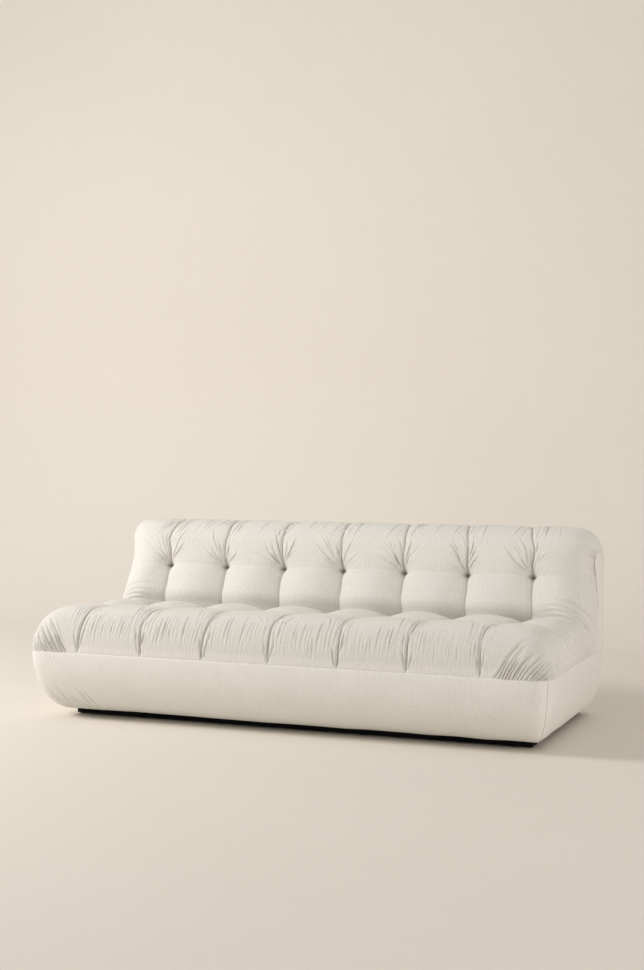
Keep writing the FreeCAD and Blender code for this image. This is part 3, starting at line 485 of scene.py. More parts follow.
@dataclass(frozen=True)
class TuftRelief:
    """How far a tufted cover lies below its crown, by run across and run along the cover."""

    columns: np.ndarray
    spacing: float
    row: float
    seed: int
    stops: tuple[float, ...]
    swell: tuple[float, ...]
    power: tuple[float, ...]
    crease: tuple[float, ...]
    crease_width: tuple[float, ...]
    dimple: float = 0.021
    deepest: float = 0.071
    valley: float = 0.010
    valley_reach: float = 0.050
    wander: float = 0.006
    wander_pitch: float = 0.08
    seam: float = 0.0022
    seam_width: float = 0.0032
    dish: float = 0.026
    dish_reach: float = 0.028
    pit: float = 0.009
    pit_reach: float = 0.024
    slit_reach: float = 0.0085
    fold_start: float = 0.014

    def lobe(self, across: np.ndarray) -> tuple[np.ndarray, np.ndarray]:
        """Places each point in its pillow.

        Args:
            across: Run across the cover from its middle.

        Returns:
            Place from -1 to 1 between the pillow's channels, and the pillow's number.
        """
        number = np.clip(np.searchsorted(self.columns, across), 0, len(self.columns))
        half = self.spacing / 2
        centre = self.columns[0] - half + number * self.spacing
        place = np.clip((across - centre) / half, -1.0, 1.0)
        place = np.where((number == 0) & (place < 0.0), 0.0, place)
        place = np.where((number == len(self.columns)) & (place > 0.0), 0.0, place)
        return place, number

    def depth(self, across: np.ndarray, along: np.ndarray) -> tuple[np.ndarray, np.ndarray]:
        """Adds up channels, valley and tufts.

        Args:
            across: Run across the cover, in metres.
            along: Run along the cover, in metres.

        Returns:
            Depth below the crown, and the part of it that is in narrow creases and tufts, in metres.
        """
        noise = LineNoise(self.seed)
        gap = np.abs(along - self.row)
        last = len(self.columns) // 2
        column = np.clip(np.round(across / self.spacing), -last, last)
        bend = self.wander * noise.at(along + column * 3.7, self.wander_pitch) * smooth_step(0.0, 0.06, gap)
        place, number = self.lobe(across + bend)
        plump = 1.0 + 0.12 * noise.at(number * 1.0 + 0.31, 1.0)
        side = np.abs(place)
        power = np.interp(along, self.stops, self.power)
        below = np.interp(along, self.stops, self.swell) * plump * side ** power
        away = np.where(side > 0.0, (1.0 - side) * self.spacing / 2, 1.0)
        width = np.interp(along, self.stops, self.crease_width)
        narrow = np.interp(along, self.stops, self.crease) * np.exp(-((away / width) ** 1.7))
        below = below + (self.valley + 0.010 * side ** 2) * np.exp(-((gap / self.valley_reach) ** 1.3))
        narrow = narrow + self.seam * np.exp(-((along - self.row) / self.seam_width) ** 2)
        for column_x in self.columns:
            reach = np.hypot(across - column_x, (along - self.row) * 1.3)
            below = below + self.dish * np.exp(-reach / self.dish_reach)
            slit = np.hypot((across - column_x) * 0.75, (along - self.row) * 1.35)
            narrow = narrow + self.dimple * np.exp(-((slit / self.slit_reach) ** 2))
            narrow = narrow + self.pit * np.exp(-((reach / self.pit_reach) ** 2))
        total = below + narrow
        return total / (1.0 + (total / self.deepest) ** 4) ** 0.25, narrow

    def tuft_folds(self, spread: tuple[tuple[float, float], ...], length: tuple[float, float]) -> list[Fold]:
        """Folds that run out of each tuft.

        Args:
            spread: Ranges of direction in degrees, 0 along the cover and 90 to the right.
            length: Shortest and longest fold.

        Returns:
            The folds.
        """
        chance = np.random.default_rng(self.seed + 7)
        folds = []
        for column in self.columns:
            for low, high in spread:
                turn = math.radians(chance.uniform(low, high))
                reach = chance.uniform(*length)
                line = (math.sin(turn), math.cos(turn))
                near = (column + self.fold_start * line[0], self.row + self.fold_start * line[1])
                far = (column + reach * line[0], self.row + reach * line[1])
                bow = chance.uniform(-0.012, 0.012)
                depth = chance.uniform(0.0026, 0.0058)
                folds.append(Fold(near, far, depth, chance.uniform(0.0028, 0.0038), bow))
        return folds


def hollow_share(narrow: np.ndarray, folds: np.ndarray) -> np.ndarray:
    """Painted shade from how deep cloth lies in creases, tufts and folds.

    Args:
        narrow: Depth of the narrow creases and tufts, in metres.
        folds: Height that the folds add, in metres.

    Returns:
        A share of painted shade from 0, open, to 1, hidden.
    """
    depth = np.maximum(narrow, 0.0) + np.maximum(-FOLD_WEIGHT * folds, 0.0)
    return 1.0 - np.exp(-(depth / CREASE_SCALE) ** CREASE_POWER)


def fold_height(folds: list[Fold], across: np.ndarray, along: np.ndarray) -> np.ndarray:
    """Adds up the folds of a cover.

    Args:
        folds: The folds.
        across: Run across the cover.
        along: Run along the cover.

    Returns:
        Height that they add, in metres.
    """
    total = np.zeros_like(across)
    for fold in folds:
        total += fold.height(across, along)
    return total


@dataclass
class SeatCover:
    """The quilted seat with its front roll, round ends and gathered lower edge."""

    sizes: SofaSizes
    front_roll: float = 0.166
    side_roll: float = 0.170
    front_run: float = 0.288
    side_run: float = 0.280
    edge_power: float = 2.45
    tail: float = 0.050
    quilt: float = 0.070
    inset: float = 0.050
    foam_rear: float = 0.235
    felt_top: float = 0.2975
    crease_sink: float = 0.036
    crease_reach: float = 0.040
    rear_sink: float = 0.010
    plump: float = 0.006
    hem_depth: float = 0.0022
    hem_width: float = 0.005
    # Painted shade drawn over the front roll.
    roll_nap: float = 0.30
    cell: float = 0.0032
    step: int = 6

    @property
    def half_run(self) -> float:
        """Run across the cover from its middle to the end seam."""
        return self.sizes.half_width - self.side_roll + self.side_run

    def runs(self) -> tuple[np.ndarray, np.ndarray]:
        """The grid's runs: along from the front seam to behind the crease, and across from end to end."""
        rear = self.sizes.crease_y - (self.sizes.front_y + self.front_roll)
        return run_grid(self.half_run, 0.0, self.front_run + rear + self.tail, self.cell, self.step)

    def edge_shares(self, across: np.ndarray, along: np.ndarray) -> tuple[np.ndarray, np.ndarray]:
        """How far each point is round the cover's rolled edges.

        Args:
            across: Run across the cover.
            along: Run along the cover.

        Returns:
            Share of the way to the front seam and to the end seam, from 0 to 1.
        """
        front = np.clip(1.0 - along / self.front_run, 0.0, 1.0)
        flat_half = self.sizes.half_width - self.side_roll
        return front, np.clip((np.abs(across) - flat_half) / self.side_run, 0.0, 1.0)

    def crown(self, across: np.ndarray, along: np.ndarray) -> np.ndarray:
        """The cover's smooth outer form, without tufts.

        Args:
            across: Run across the cover.
            along: Run along the cover.

        Returns:
            Grid of points.
        """
        flat_half = self.sizes.half_width - self.side_roll
        front, end = self.edge_shares(across, along)
        power = 2.8 + (self.sizes.corner_power - 2.8) * np.maximum(front, end) ** 2
        edge, out_front, out_end = rounded_corner(front, end, power)
        reach, rise = EdgeRoll(self.edge_power).at(edge)
        out_front = reach * out_front
        out_end = reach * out_end
        x = np.sign(across) * (np.minimum(np.abs(across), flat_half) + self.side_roll * out_end)
        z = self.sizes.seam_height + (self.sizes.seat_height - self.sizes.seam_height) * rise
        y = self.sizes.front_y + self.front_roll + np.maximum(along - self.front_run, 0.0)
        y = y - self.front_roll * out_front
        crease_run = along.max() - self.tail
        lean = smooth_step(0.5 * crease_run, crease_run, along)
        y = y + lean * self.sizes.mitre * (self.sizes.seat_height - z)
        x = x * (1.0 - CREASE_TUCK * smooth_step(crease_run + 0.004, crease_run + 0.030, along))
        return np.stack([x, y, z], axis=2)

    @property
    def row(self) -> float:
        """Run along the cover to the row of tufts."""
        return self.front_run + self.sizes.seat_tuft_y - (self.sizes.front_y + self.front_roll)

    def relief(self) -> TuftRelief:
        """The depths of the seat's channels and tufts."""
        row = self.row
        return TuftRelief(
            self.sizes.columns, self.sizes.tuft_spacing, row, 11,
            stops=(0.0, 0.02, 0.07, 0.14, 0.24, 0.34, row - 0.06, row, row + 0.06, row + 0.18, row + 0.34),
            swell=(0.000, 0.001, 0.003, 0.004, 0.005, 0.008, 0.018, 0.030, 0.032, 0.030, 0.022),
            power=(3.0, 3.0, 3.0, 3.0, 3.4, 3.6, 3.0, 2.3, 2.0, 1.9, 1.9),
            crease=(0.000, 0.011, 0.012, 0.007, 0.007, 0.009, 0.015, 0.020, 0.014, 0.008, 0.006),
            crease_width=(0.003, 0.0038, 0.0040, 0.0034, 0.0036, 0.0042, 0.008, 0.012, 0.012, 0.012, 0.012),
            valley=0.024,
            valley_reach=0.062,
        )

    def folds(self) -> list[Fold]:
        """Pleats beside the channels, gathers above the front seam and fans round the corners."""
        chance = np.random.default_rng(23)
        folds = self.relief().tuft_folds(((-60, -25), (-20, 20)), (0.05, 0.10))
        for column in self.sizes.columns:
            for reach in (-0.070, -0.046, -0.028, -0.013, 0.012, 0.026, 0.048):
                offset = reach + chance.uniform(-0.006, 0.006)
                start = (column + offset * 1.30, chance.uniform(0.23, 0.37))
                end = (column + offset * 0.62, chance.uniform(0.07, 0.17))
                depth = chance.uniform(0.0014, 0.0038)
                folds.append(Fold(start, end, depth, chance.uniform(0.0027, 0.0034), offset * 0.15))
            for reach in (-0.011, 0.012):
                offset = reach + chance.uniform(-0.003, 0.003)
                end = (column + 1.9 * offset, chance.uniform(0.09, 0.15))
                folds.append(Fold((column + offset * 0.4, 0.010), end, chance.uniform(0.003, 0.005), 0.0034))
        for place in np.arange(-0.84, 0.84, 0.0110):
            at = place + chance.uniform(-0.005, 0.005)
            start = (at + chance.normal(0.0, 0.006), chance.uniform(0.12, 0.22))
            end = (at, chance.uniform(0.02, 0.07))
            folds.append(Fold(start, end, chance.uniform(0.0010, 0.0032), chance.uniform(0.0029, 0.0038)))
        folds += self.corner_folds(chance)
        return folds

    def corner_folds(self, chance: np.random.Generator) -> list[Fold]:
        """Fans of folds that run from the seam round each end towards the end pillow's middle.

        Args:
            chance: Source of the seeded numbers.

        Returns:
            The folds.
        """
        half = self.half_run
        folds = []
        for side in Side:
            aim = np.array([side.value * 1.09, 0.36])
            for place in np.arange(0.870, half, 0.0185):
                start = np.array([side.value * (place + chance.uniform(-0.004, 0.004)), -0.006])
                reach = chance.uniform(0.34, 0.60)
                end = start + (aim - start) * reach
                depth = chance.uniform(0.0055, 0.0095)
                width = chance.uniform(0.0044, 0.0060)
                folds.append(Fold(tuple(start), tuple(end), depth, width, side.value * 0.006))
            for place in np.arange(0.02, 0.74, 0.0155):
                start = np.array([side.value * (half + 0.004), place + chance.uniform(-0.006, 0.006)])
                goal_x = np.interp(place, (0.0, 0.34), (1.09, 0.925))
                goal = np.array([side.value * goal_x, 0.36 + 0.45 * max(place - 0.36, 0.0)])
                end = start + (goal - start) * chance.uniform(0.42, 0.70)
                depth = chance.uniform(0.0034, 0.0068) * min(1.0, 0.3 + 2.0 * place)
                folds.append(Fold(tuple(start), tuple(end), depth, chance.uniform(0.0036, 0.0052)))
        return folds

    def build(self) -> bpy.types.Object:
        """Makes the cover as one closed form."""
        across, along = self.runs()
        front, end = self.edge_shares(across, along)
        turned = end > np.maximum(front, 0.16)
        base = ClothGrid(self.crown(across, along), across, along, turned=turned)
        below, narrow = self.sunk(across, along)
        folds = fold_height(self.folds(), across, along)
        # Painted shade: near the crease with the back, over the front roll from just above the seam, and in
        # creases, tufts and folds.
        shade = crease_shade(np.maximum(along.max() - self.tail - along, 0.0), across)
        nap_and_shade = self.roll_nap * smooth_step(0.01, 0.05, along) * (1.0 - smooth_step(0.13, 0.24, along))
        hollow = np.maximum(hollow_share(narrow, folds), np.maximum(shade, nap_and_shade))
        outer = base.moved(folds - below, hollow)
        return MeshMaker.closed("seat_quilt", outer, self.lining(base, below), self.step)

    def sunk(self, across: np.ndarray, along: np.ndarray) -> tuple[np.ndarray, np.ndarray]:
        """How far the cover lies below its crown.

        Args:
            across: Run across the cover.
            along: Run along the cover.

        Returns:
            The whole depth, and the part of it that is in narrow creases, in metres.
        """
        open_end = 1.0 - smooth_step(self.sizes.half_width - 0.10, across.max() - 0.02, np.abs(across))
        below, narrow = self.relief().depth(across, along)
        crease_run = along.max() - self.tail
        sink = self.crease_sink * np.exp(-(np.maximum(crease_run - along, 0.0) / self.crease_reach) ** 1.3)
        sink = sink + self.rear_sink * smooth_step(self.row, crease_run, along)
        sink = sink * between_ends(across)
        rise = self.plump * np.sin(np.clip(along / 0.50, 0.0, 1.0) * math.pi)
        to_seam = np.minimum(along, across.max() - np.abs(across))
        hem = self.hem_depth * np.exp(-(to_seam / self.hem_width) ** 2)
        return below * open_end + sink + hem - rise, narrow * open_end + hem

    def lining(self, base: ClothGrid, below: np.ndarray) -> ClothGrid:
        """The quilt's inner face, pressed in under the tufts and kept inside the corners.

        Args:
            base: The cover's crown.
            below: How far the outer face lies below the crown.

        Returns:
            The inner face.
        """
        inner = base.moved(-np.maximum(self.quilt, widest(below, self.step) + 0.010))
        limit = self.sizes.half_width - self.inset
        inner.points[..., 0] = np.clip(inner.points[..., 0], -limit, limit)
        inner.points[..., 1] = np.maximum(inner.points[..., 1], self.sizes.front_y + self.inset)
        inner.points[..., 2] = np.maximum(inner.points[..., 2], self.sizes.seam_height + 0.002)
        return inner

    def foam(self) -> bpy.types.Object:
        """Makes the foam under the quilt, with its lower face on the felt."""
        across, along = self.runs()
        base = ClothGrid(self.crown(across, along), across, along)
        grid = self.lining(base, self.sunk(across, along)[0]).thinned(4)
        keep = grid.points[:, :, 1].max(axis=1) < self.foam_rear
        top = ClothGrid(grid.points[keep], grid.flat_u[keep], grid.flat_v[keep]).moved(-0.004)
        floor = top.points.copy()
        floor[..., 2] = np.minimum(self.felt_top, floor[..., 2] - 0.006)
        return MeshMaker.closed("seat_foam_pad", top, ClothGrid(floor, top.flat_u, top.flat_v), 1)


@dataclass
class BackCover:
    """The quilted back with its top roll and round top corners."""

    sizes: SofaSizes
    side_run: float = 0.280
    end_roll: float = 0.170
    edge_power: float = 2.25
    tuft_drop: float = 0.1003
    quilt: float = 0.055
    inset: float = 0.045
    foam_depth: float = 0.092
    foam_half: float = 1.02
    foam_run: float = 0.52
    crease_sink: float = 0.030
    plump: float = 0.004
    hem_depth: float = 0.0012
    hem_width: float = 0.006
    tail: float = 0.080
    cell: float = 0.0032
    step: int = 6

    def shoulder(self, along: np.ndarray) -> tuple[np.ndarray, np.ndarray]:
        """How the cover's end is rounded.

        Args:
            along: Run along the cover.

        Returns:
            How far the end rolls inwards along the sofa, and how far it falls away.
        """
        rear = self.sizes.rear_round
        stops = (0.0, 0.12, 0.26, 0.34, 0.42, 0.60)
        roll = np.interp(along, stops, (self.end_roll, 0.182, 0.205, 0.165, 0.118, rear))
        drop = np.interp(along, (0.0, 0.10, 0.2546, 0.41, 0.60), (0.172, 0.180, 0.128, 0.098, rear))
        return roll, drop

    @property
    def slope_length(self) -> float:
        """Length of the sloping front, from the crease to the top roll."""
        tangent = self.sizes.top_centre[1] + self.sizes.top_radius * math.sin(self.sizes.rake)
        return (tangent - self.sizes.seat_height) / math.cos(self.sizes.rake)

    def path(self, along: np.ndarray) -> tuple[np.ndarray, np.ndarray]:
        """The cover's outline in the plane across the sofa.

        Args:
            along: Run from the crease, up the front, over the top and down the rear.

        Returns:
            Points and outward normals, as Y and Z on the last axis.
        """
        rake, radius = self.sizes.rake, self.sizes.top_radius
        centre = np.array(self.sizes.top_centre)
        up = np.array([math.sin(rake), math.cos(rake)])
        slope = np.minimum(along - self.slope_length, 0.0)
        arc = np.clip((along - self.slope_length) / radius, 0.0, math.pi - rake)
        fall = np.maximum(along - self.slope_length - radius * (math.pi - rake), 0.0)
        turn = math.pi - rake - arc
        normal = np.stack([np.cos(turn), np.sin(turn)], axis=-1)
        points = centre + radius * normal
        points = points + slope[..., None] * up
        points[..., 1] -= fall
        return points, normal

    @property
    def half_run(self) -> float:
        """Run across the cover from its middle to the end seam."""
        return self.sizes.half_width - self.end_roll + self.side_run

    def runs(self) -> tuple[np.ndarray, np.ndarray]:
        """The grid's runs: along from below the crease to the rear seam, and across from end to end."""
        rear_fall = self.sizes.top_centre[1] - self.sizes.rear_seam_height
        top = self.slope_length + self.sizes.top_radius * (math.pi - self.sizes.rake) + rear_fall
        return run_grid(self.half_run, -self.tail, top, self.cell, self.step)

    def crown(self, across: np.ndarray, along: np.ndarray) -> np.ndarray:
        """The cover's smooth outer form, without tufts.

        Args:
            across: Run across the cover.
            along: Run along the cover.

        Returns:
            Grid of points.
        """
        roll_in, fall = self.shoulder(along)
        taper = np.interp(along, (0.0, 0.10, 0.20, 0.30, 0.42, 0.60), (0.0, 0.006, 0.026, 0.022, 0.004, 0.0))
        flat_half = self.sizes.half_width - taper - roll_in
        flat_run = self.half_run - self.side_run * roll_in / self.end_roll
        end = np.clip((np.abs(across) - flat_run) / (self.half_run - flat_run), 0.0, 1.0)
        reach, rise = EdgeRoll(self.edge_power).at(end)
        drop = fall * (1.0 - rise)
        lower = 1.0 - smooth_step(0.0, 0.20, along)
        points, normal = self.path(along - lower * self.sizes.mitre * drop)
        x = np.sign(across) * (np.minimum(np.abs(across) / flat_run, 1.0) * flat_half + roll_in * reach)
        x = x * (1.0 - CREASE_TUCK * (1.0 - smooth_step(-0.034, -0.006, along)))
        place = points - normal * drop[..., None]
        return np.concatenate([x[..., None], place], axis=2)

    @property
    def row(self) -> float:
        """Run along the cover to the row of tufts."""
        return self.slope_length - self.tuft_drop

    def relief(self) -> TuftRelief:
        """The depths of the back's channels and tufts."""
        row = self.row
        return TuftRelief(
            self.sizes.columns, self.sizes.tuft_spacing, row, 31,
            stops=(-0.05, 0.0, row - 0.08, row - 0.03, row,
                   row + 0.04, row + 0.12, row + 0.22, row + 0.31, row + 0.38),
            swell=(0.040, 0.044, 0.045, 0.036, 0.022, 0.011, 0.007, 0.006, 0.003, 0.0),
            power=(2.0, 2.0, 2.0, 2.2, 2.6, 3.0, 3.0, 3.0, 3.0, 3.0),
            crease=(0.002, 0.003, 0.005, 0.007, 0.010, 0.009, 0.008, 0.007, 0.005, 0.0),
            crease_width=(0.008, 0.007, 0.006, 0.006, 0.007, 0.0054, 0.0046, 0.0044, 0.0044, 0.0044),
            valley=0.008,
        )

    def folds(self) -> list[Fold]:
        """Fans above the tufts, gathers along the top and folds on the end pillows."""
        chance = np.random.default_rng(47)
        left_fan = ((-66, -54), (-52, -42), (-40, -32), (-30, -22), (-20, -13), (-12, -6))
        fan = left_fan + ((8, 16), (18, 30), (34, 50))
        folds = self.relief().tuft_folds(fan, (0.10, 0.21))
        top = self.slope_length + 0.175
        for column in self.sizes.columns:
            for _ in range(10):
                offset = abs(chance.normal(0.0, 0.075)) * (1.0 if chance.random() < 0.75 else -0.5)
                start = (column + offset, top - chance.uniform(0.0, 0.03))
                end = (column + offset * 1.1 - chance.uniform(0.02, 0.045), top - chance.uniform(0.10, 0.19))
                folds.append(Fold(start, end, chance.uniform(0.0016, 0.0036), chance.uniform(0.0028, 0.0040)))
        half = self.half_run
        for side in Side:
            for place in np.arange(0.03, 0.52, 0.024):
                start = (side.value * half, place + chance.uniform(-0.006, 0.006))
                end = (side.value * (half - chance.uniform(0.09, 0.17)), place - chance.uniform(0.01, 0.05))
                folds.append(Fold(start, end, chance.uniform(0.0014, 0.0034), chance.uniform(0.0040, 0.0060)))
            for place in (-0.030, -0.012, 0.008, 0.036):
                start = (side.value * (half - 0.02), place + 0.030)
                end = (side.value * chance.uniform(0.80, 0.90), place + 0.012)
                folds.append(Fold(start, end, 0.0058, 0.0055, side.value * 0.005))
        return folds

    def build(self) -> bpy.types.Object:
        """Makes the cover as one closed form."""
        across, along = self.runs()
        base = ClothGrid(self.crown(across, along), across, along)
        below, narrow = self.sunk(across, along)
        folds = fold_height(self.folds(), across, along)
        # Painted shade: near the crease with the seat, and in creases, tufts and folds.
        shade = crease_shade(np.maximum(along, 0.0), across)
        outer = base.moved(folds - below, np.maximum(hollow_share(narrow, folds), shade))
        inner = base.moved(-np.maximum(self.quilt, widest(below, self.step) + 0.008))
        limit = self.sizes.half_width - self.inset
        inner.points[..., 0] = np.clip(inner.points[..., 0], -limit, limit)
        return MeshMaker.closed("back_quilt", outer, inner, self.step)

    def sunk(self, across: np.ndarray, along: np.ndarray) -> tuple[np.ndarray, np.ndarray]:
        """How far the cover lies below its crown.

        Args:
            across: Run across the cover.
            along: Run along the cover.

        Returns:
            The whole depth, and the part of it that is in narrow creases, in metres.
        """
        open_end = 1.0 - smooth_step(self.sizes.half_width - 0.09, across.max() - 0.02, np.abs(across))
        below, narrow = self.relief().depth(across, along)
        sink = self.crease_sink * (1.0 - smooth_step(-0.050, 0.040, along))
        sink = sink * between_ends(across)
        rise = self.plump * np.sin(np.clip((along - 0.16) / 0.34, 0.0, 1.0) * math.pi)
        hem = self.hem_depth * np.exp(-((across.max() - np.abs(across)) / self.hem_width) ** 2)
        return (below - rise) * open_end + sink + hem, narrow * open_end + hem

    def foam(self) -> bpy.types.Object:
        """Makes the foam behind the quilt, from the crease over the top rail."""
        across, along = self.runs()
        below = np.maximum(self.quilt + 0.003, widest(self.sunk(across, along)[0], self.step) + 0.011)
        base = ClothGrid(self.crown(across, along), across, along)
        rows = (along[:, 0] > 0.0) & (along[:, 0] < self.foam_run)
        columns = np.abs(base.points[len(along) // 3, :, 0]) < self.foam_half
        area = np.ix_(rows, columns)
        grid = ClothGrid(base.points[area], across[area], along[area])
        front = grid.moved(-below[area]).thinned(4)
        rear = grid.moved(-np.maximum(self.foam_depth, below[area] + 0.006)).thinned(4)
        return MeshMaker.closed("back_foam_pad", front, rear, 1)

    def end_seam(self) -> np.ndarray:
        """The seam round the right end, from below the crease up and over to the rear."""
        across, along = self.runs()
        return self.crown(across, along)[:, -1]


@dataclass
class BaseCloth:
    """The plain band and panels that curve from the seam back to the foot."""

    sizes: SofaSizes
    power: float = 1.9
    wrap: float = 0.22
    corner: float = 0.168
    frame_half: float = 0.9725
    rear_clear: float = 0.9655
    seam_lap: float = 0.004
    foam_gap: float = 0.0065
    rear_top: float = 0.594
    board_foot: tuple[float, float] = (-0.291, 0.0313)
    board_slope: float = 0.7186
    hem_height: float = 0.0315
    hem_radius: float = 0.0042
    back_end_dip: float = 0.012
    back_end_middle: float = 0.455
    back_end_bulge: float = 0.002

    def hull(self, share: np.ndarray) -> tuple[np.ndarray, np.ndarray, np.ndarray, np.ndarray]:
        """The base's rounded profile.

        Args:
            share: Place from the seam, 0, to the foot, 1.

        Returns:
            Half width, front Y and height of the profile, and how round its corners are.
        """
        turn = share * math.pi / 2
        out = np.cos(turn) ** (2.0 / self.power)
        down = np.sin(turn) ** (2.0 / self.power)
        sizes = self.sizes
        half = sizes.foot_half + (sizes.band_top_half - sizes.foot_half) * out
        front = sizes.foot_front_y + (sizes.band_top_y - sizes.foot_front_y) * out
        top = sizes.seam_height + self.seam_lap
        return half, front, top - (top - sizes.foot_height) * down, self.corner * (0.14 + 0.86 * out)

    def rear_corner(self, half: np.ndarray) -> np.ndarray:
        """Radius of the rear corners by the base's half width, so that they clear the frame at the foot."""
        return np.minimum(self.sizes.rear_round, half - self.rear_clear)

    def band(self) -> ClothGrid:
        """The front band, which ends a little way round each corner."""
        share, place = np.meshgrid(np.linspace(1.0, 0.0, 45), np.linspace(-1.0, 1.0, 481), indexing="ij")
        half, front, height, corner = self.hull(share)
        run = place * (half + self.wrap * corner)
        end = np.clip((np.abs(run) - (half - corner)) / corner, 0.0, 1.0)
        ahead = np.clip(1.0 - (np.abs(run) - half) / corner, 0.0, 1.0)
        _, out_front, out_end = rounded_corner(ahead, end, self.sizes.corner_power)
        x = np.sign(run) * (np.minimum(np.abs(run), half - corner) + corner * out_end)
        y = front + corner * (1.0 - out_front)
        grid = ClothGrid(np.stack([x, y, height], axis=2), place * 1.06, 0.32 * (1.0 - share))
        edge = smooth_step(0.0, 0.02, 1.0 - np.abs(place))
        ripple = 0.0014 * LineNoise(62).at(run + 0.1 * share, 0.11) * smooth_step(0.02, 0.22, share)
        near_seam = 0.0005 * LineNoise(63).at(run, 0.023) * np.exp(-share / 0.10)
        folds = fold_height(self.band_folds(), run, 1.0 - share)
        # Painted shade in the band's folds.
        return grid.moved((ripple + near_seam + folds) * edge, hollow_share(np.zeros_like(folds), folds))

    @staticmethod
    def band_folds() -> list[Fold]:
        """Slanted folds low on the left of the band."""
        chance = np.random.default_rng(67)
        folds = []
        for place in np.arange(-0.95, -0.78, 0.021):
            start = (place + chance.uniform(-0.005, 0.005), 0.12)
            end = (start[0] - chance.uniform(0.04, 0.06), chance.uniform(0.50, 0.72))
            folds.append(Fold(start, end, chance.uniform(0.0060, 0.0090), chance.uniform(0.0052, 0.0066)))
        return folds

    def end(self, side: Side) -> ClothGrid:
        """The panel on one end of the base, from the band's edge to the rear corner, faces outwards."""
        share, place = np.meshgrid(np.linspace(1.0, 0.0, 45), np.linspace(0.0, 1.0, 141), indexing="ij")
        half, front, height, corner = self.hull(share)
        first = front + self.wrap * corner
        run = first + (self.sizes.rear_y - self.rear_corner(half) + 0.004 - first) * place
        ahead = np.clip((front + corner - run) / corner, 0.0, 1.0)
        _, out_front, out_end = rounded_corner(ahead, np.ones_like(ahead), self.sizes.corner_power)
        x = half - corner * (1.0 - out_end)
        y = np.where(ahead > 0.0, front + corner * (1.0 - out_front), run)
        points = np.stack([side.value * x, y, height], axis=2)
        flat = place * 0.90
        if side is Side.LEFT:
            points, flat, run = points[:, ::-1], -flat[:, ::-1], run[:, ::-1]
        ripple = 0.0014 * LineNoise(65 + int(side.value)).at(run + 0.15 * share, 0.12)
        edge = smooth_step(0.0, 0.03, 0.5 - np.abs(place - 0.5))
        return ClothGrid(points, flat, 0.30 * (1.0 - share)).moved(ripple * edge)

    def rear(self) -> ClothGrid:
        """The plain panel across the rear and round its corners, with its faces outwards."""
        heights = np.linspace(self.sizes.foot_height, self.rear_top, 65)
        z, place = np.meshgrid(heights, np.linspace(1.0, -1.0, 261), indexing="ij")
        top = self.sizes.seam_height + self.seam_lap
        down = np.clip((top - z) / (top - self.sizes.foot_height), 0.0, 1.0)
        out = (1.0 - down ** self.power) ** (1.0 / self.power)
        half = self.sizes.foot_half + (self.sizes.band_top_half + 0.001 - self.sizes.foot_half) * out
        corner = self.rear_corner(half)
        run = place * (half + 0.6 * corner)
        round_it = np.clip((np.abs(run) - (half - corner)) / (1.6 * corner), 0.0, 1.0) * 2.0
        behind, aside = np.clip(2.0 - round_it, 0.0, 1.0), np.clip(round_it, 0.0, 1.0)
        _, out_rear, out_end = rounded_corner(behind, aside, 2.0)
        x = np.sign(run) * (np.minimum(np.abs(run), half - corner) + corner * out_end)
        y = self.sizes.rear_y - 0.001 - corner * (1.0 - out_rear)
        sag = 0.0016 * LineNoise(71).at(run + 0.2 * z, 0.16) * smooth_step(0.0, 0.05, 1.0 - np.abs(place))
        return ClothGrid(np.stack([x, y, z], axis=2), -place * 1.10, z).moved(sag)

    def front_foam(self, band: ClothGrid) -> bpy.types.Object:
        """Makes the foam between the sloping front board and the band."""
        front = band.thinned(2).moved(-self.foam_gap)
        board = front.points.copy()
        foot_y, foot_z = self.board_foot
        slope = foot_y - self.board_slope * (board[..., 2] - foot_z)
        board[..., 1] = np.maximum(slope, board[..., 1] + 0.004)
        return MeshMaker.closed("front_foam_pad", front, ClothGrid(board, front.flat_u, front.flat_v), 1)

    def end_foam(self, side: Side, cloth: ClothGrid) -> bpy.types.Object:
        """Makes the foam between the outer rib and an end panel."""
        outer = cloth.thinned(2).moved(-self.foam_gap)
        rib = outer.points.copy()
        rib[..., 0] = side.value * np.minimum(self.frame_half, np.abs(rib[..., 0]) - 0.003)
        inner = ClothGrid(rib, outer.flat_u, outer.flat_v)
        return MeshMaker.closed(f"{side.word}_base_foam_pad", outer, inner, 1)

    def back_end_foam(self, side: Side) -> bpy.types.Object:
        """Makes the soft block between the outer rib and an end of the back."""
        across, up = np.meshgrid(np.linspace(-1.0, 1.0, 31), np.linspace(-1.0, 1.0, 41))
        bulge = 0.004 + 0.046 * np.sqrt((1.0 - across ** 4) * (1.0 - up ** 4))
        lean = 0.384 * (0.165 * up + 0.165) - 0.050
        y = 0.395 + 0.5 * lean + (0.075 - 0.35 * lean) * across
        z = 0.445 + 0.155 * up
        outer = np.stack([side.value * (self.frame_half + bulge), y, z], axis=2)
        inner = np.stack([np.full_like(y, side.value * self.frame_half), y, z], axis=2)
        if side is Side.LEFT:
            outer, inner = outer[:, ::-1], inner[:, ::-1]
        soft = ClothGrid(outer, y, z)
        return MeshMaker.closed(f"{side.word}_back_end_foam_pad", soft, ClothGrid(inner, y, z), 1)

    def hem(self, band: ClothGrid, right: ClothGrid, rear: ClothGrid, left: ClothGrid) -> bpy.types.Object:
        """Makes the round welt along the lower edge of the base's four panels.

        Args:
            band: The front band, from left to right.
            right: The right end panel, from front to rear.
            rear: The rear panel, from right to left.
            left: The left end panel, from rear to front.

        Returns:
            The welt.
        """
        rows = [cloth.points[0, 2:-2] for cloth in (band, right, rear, left)]
        path = np.concatenate(rows)
        path[:, 2] = self.hem_height
        return MeshMaker.tube("foot_welt", path, self.hem_radius, True)

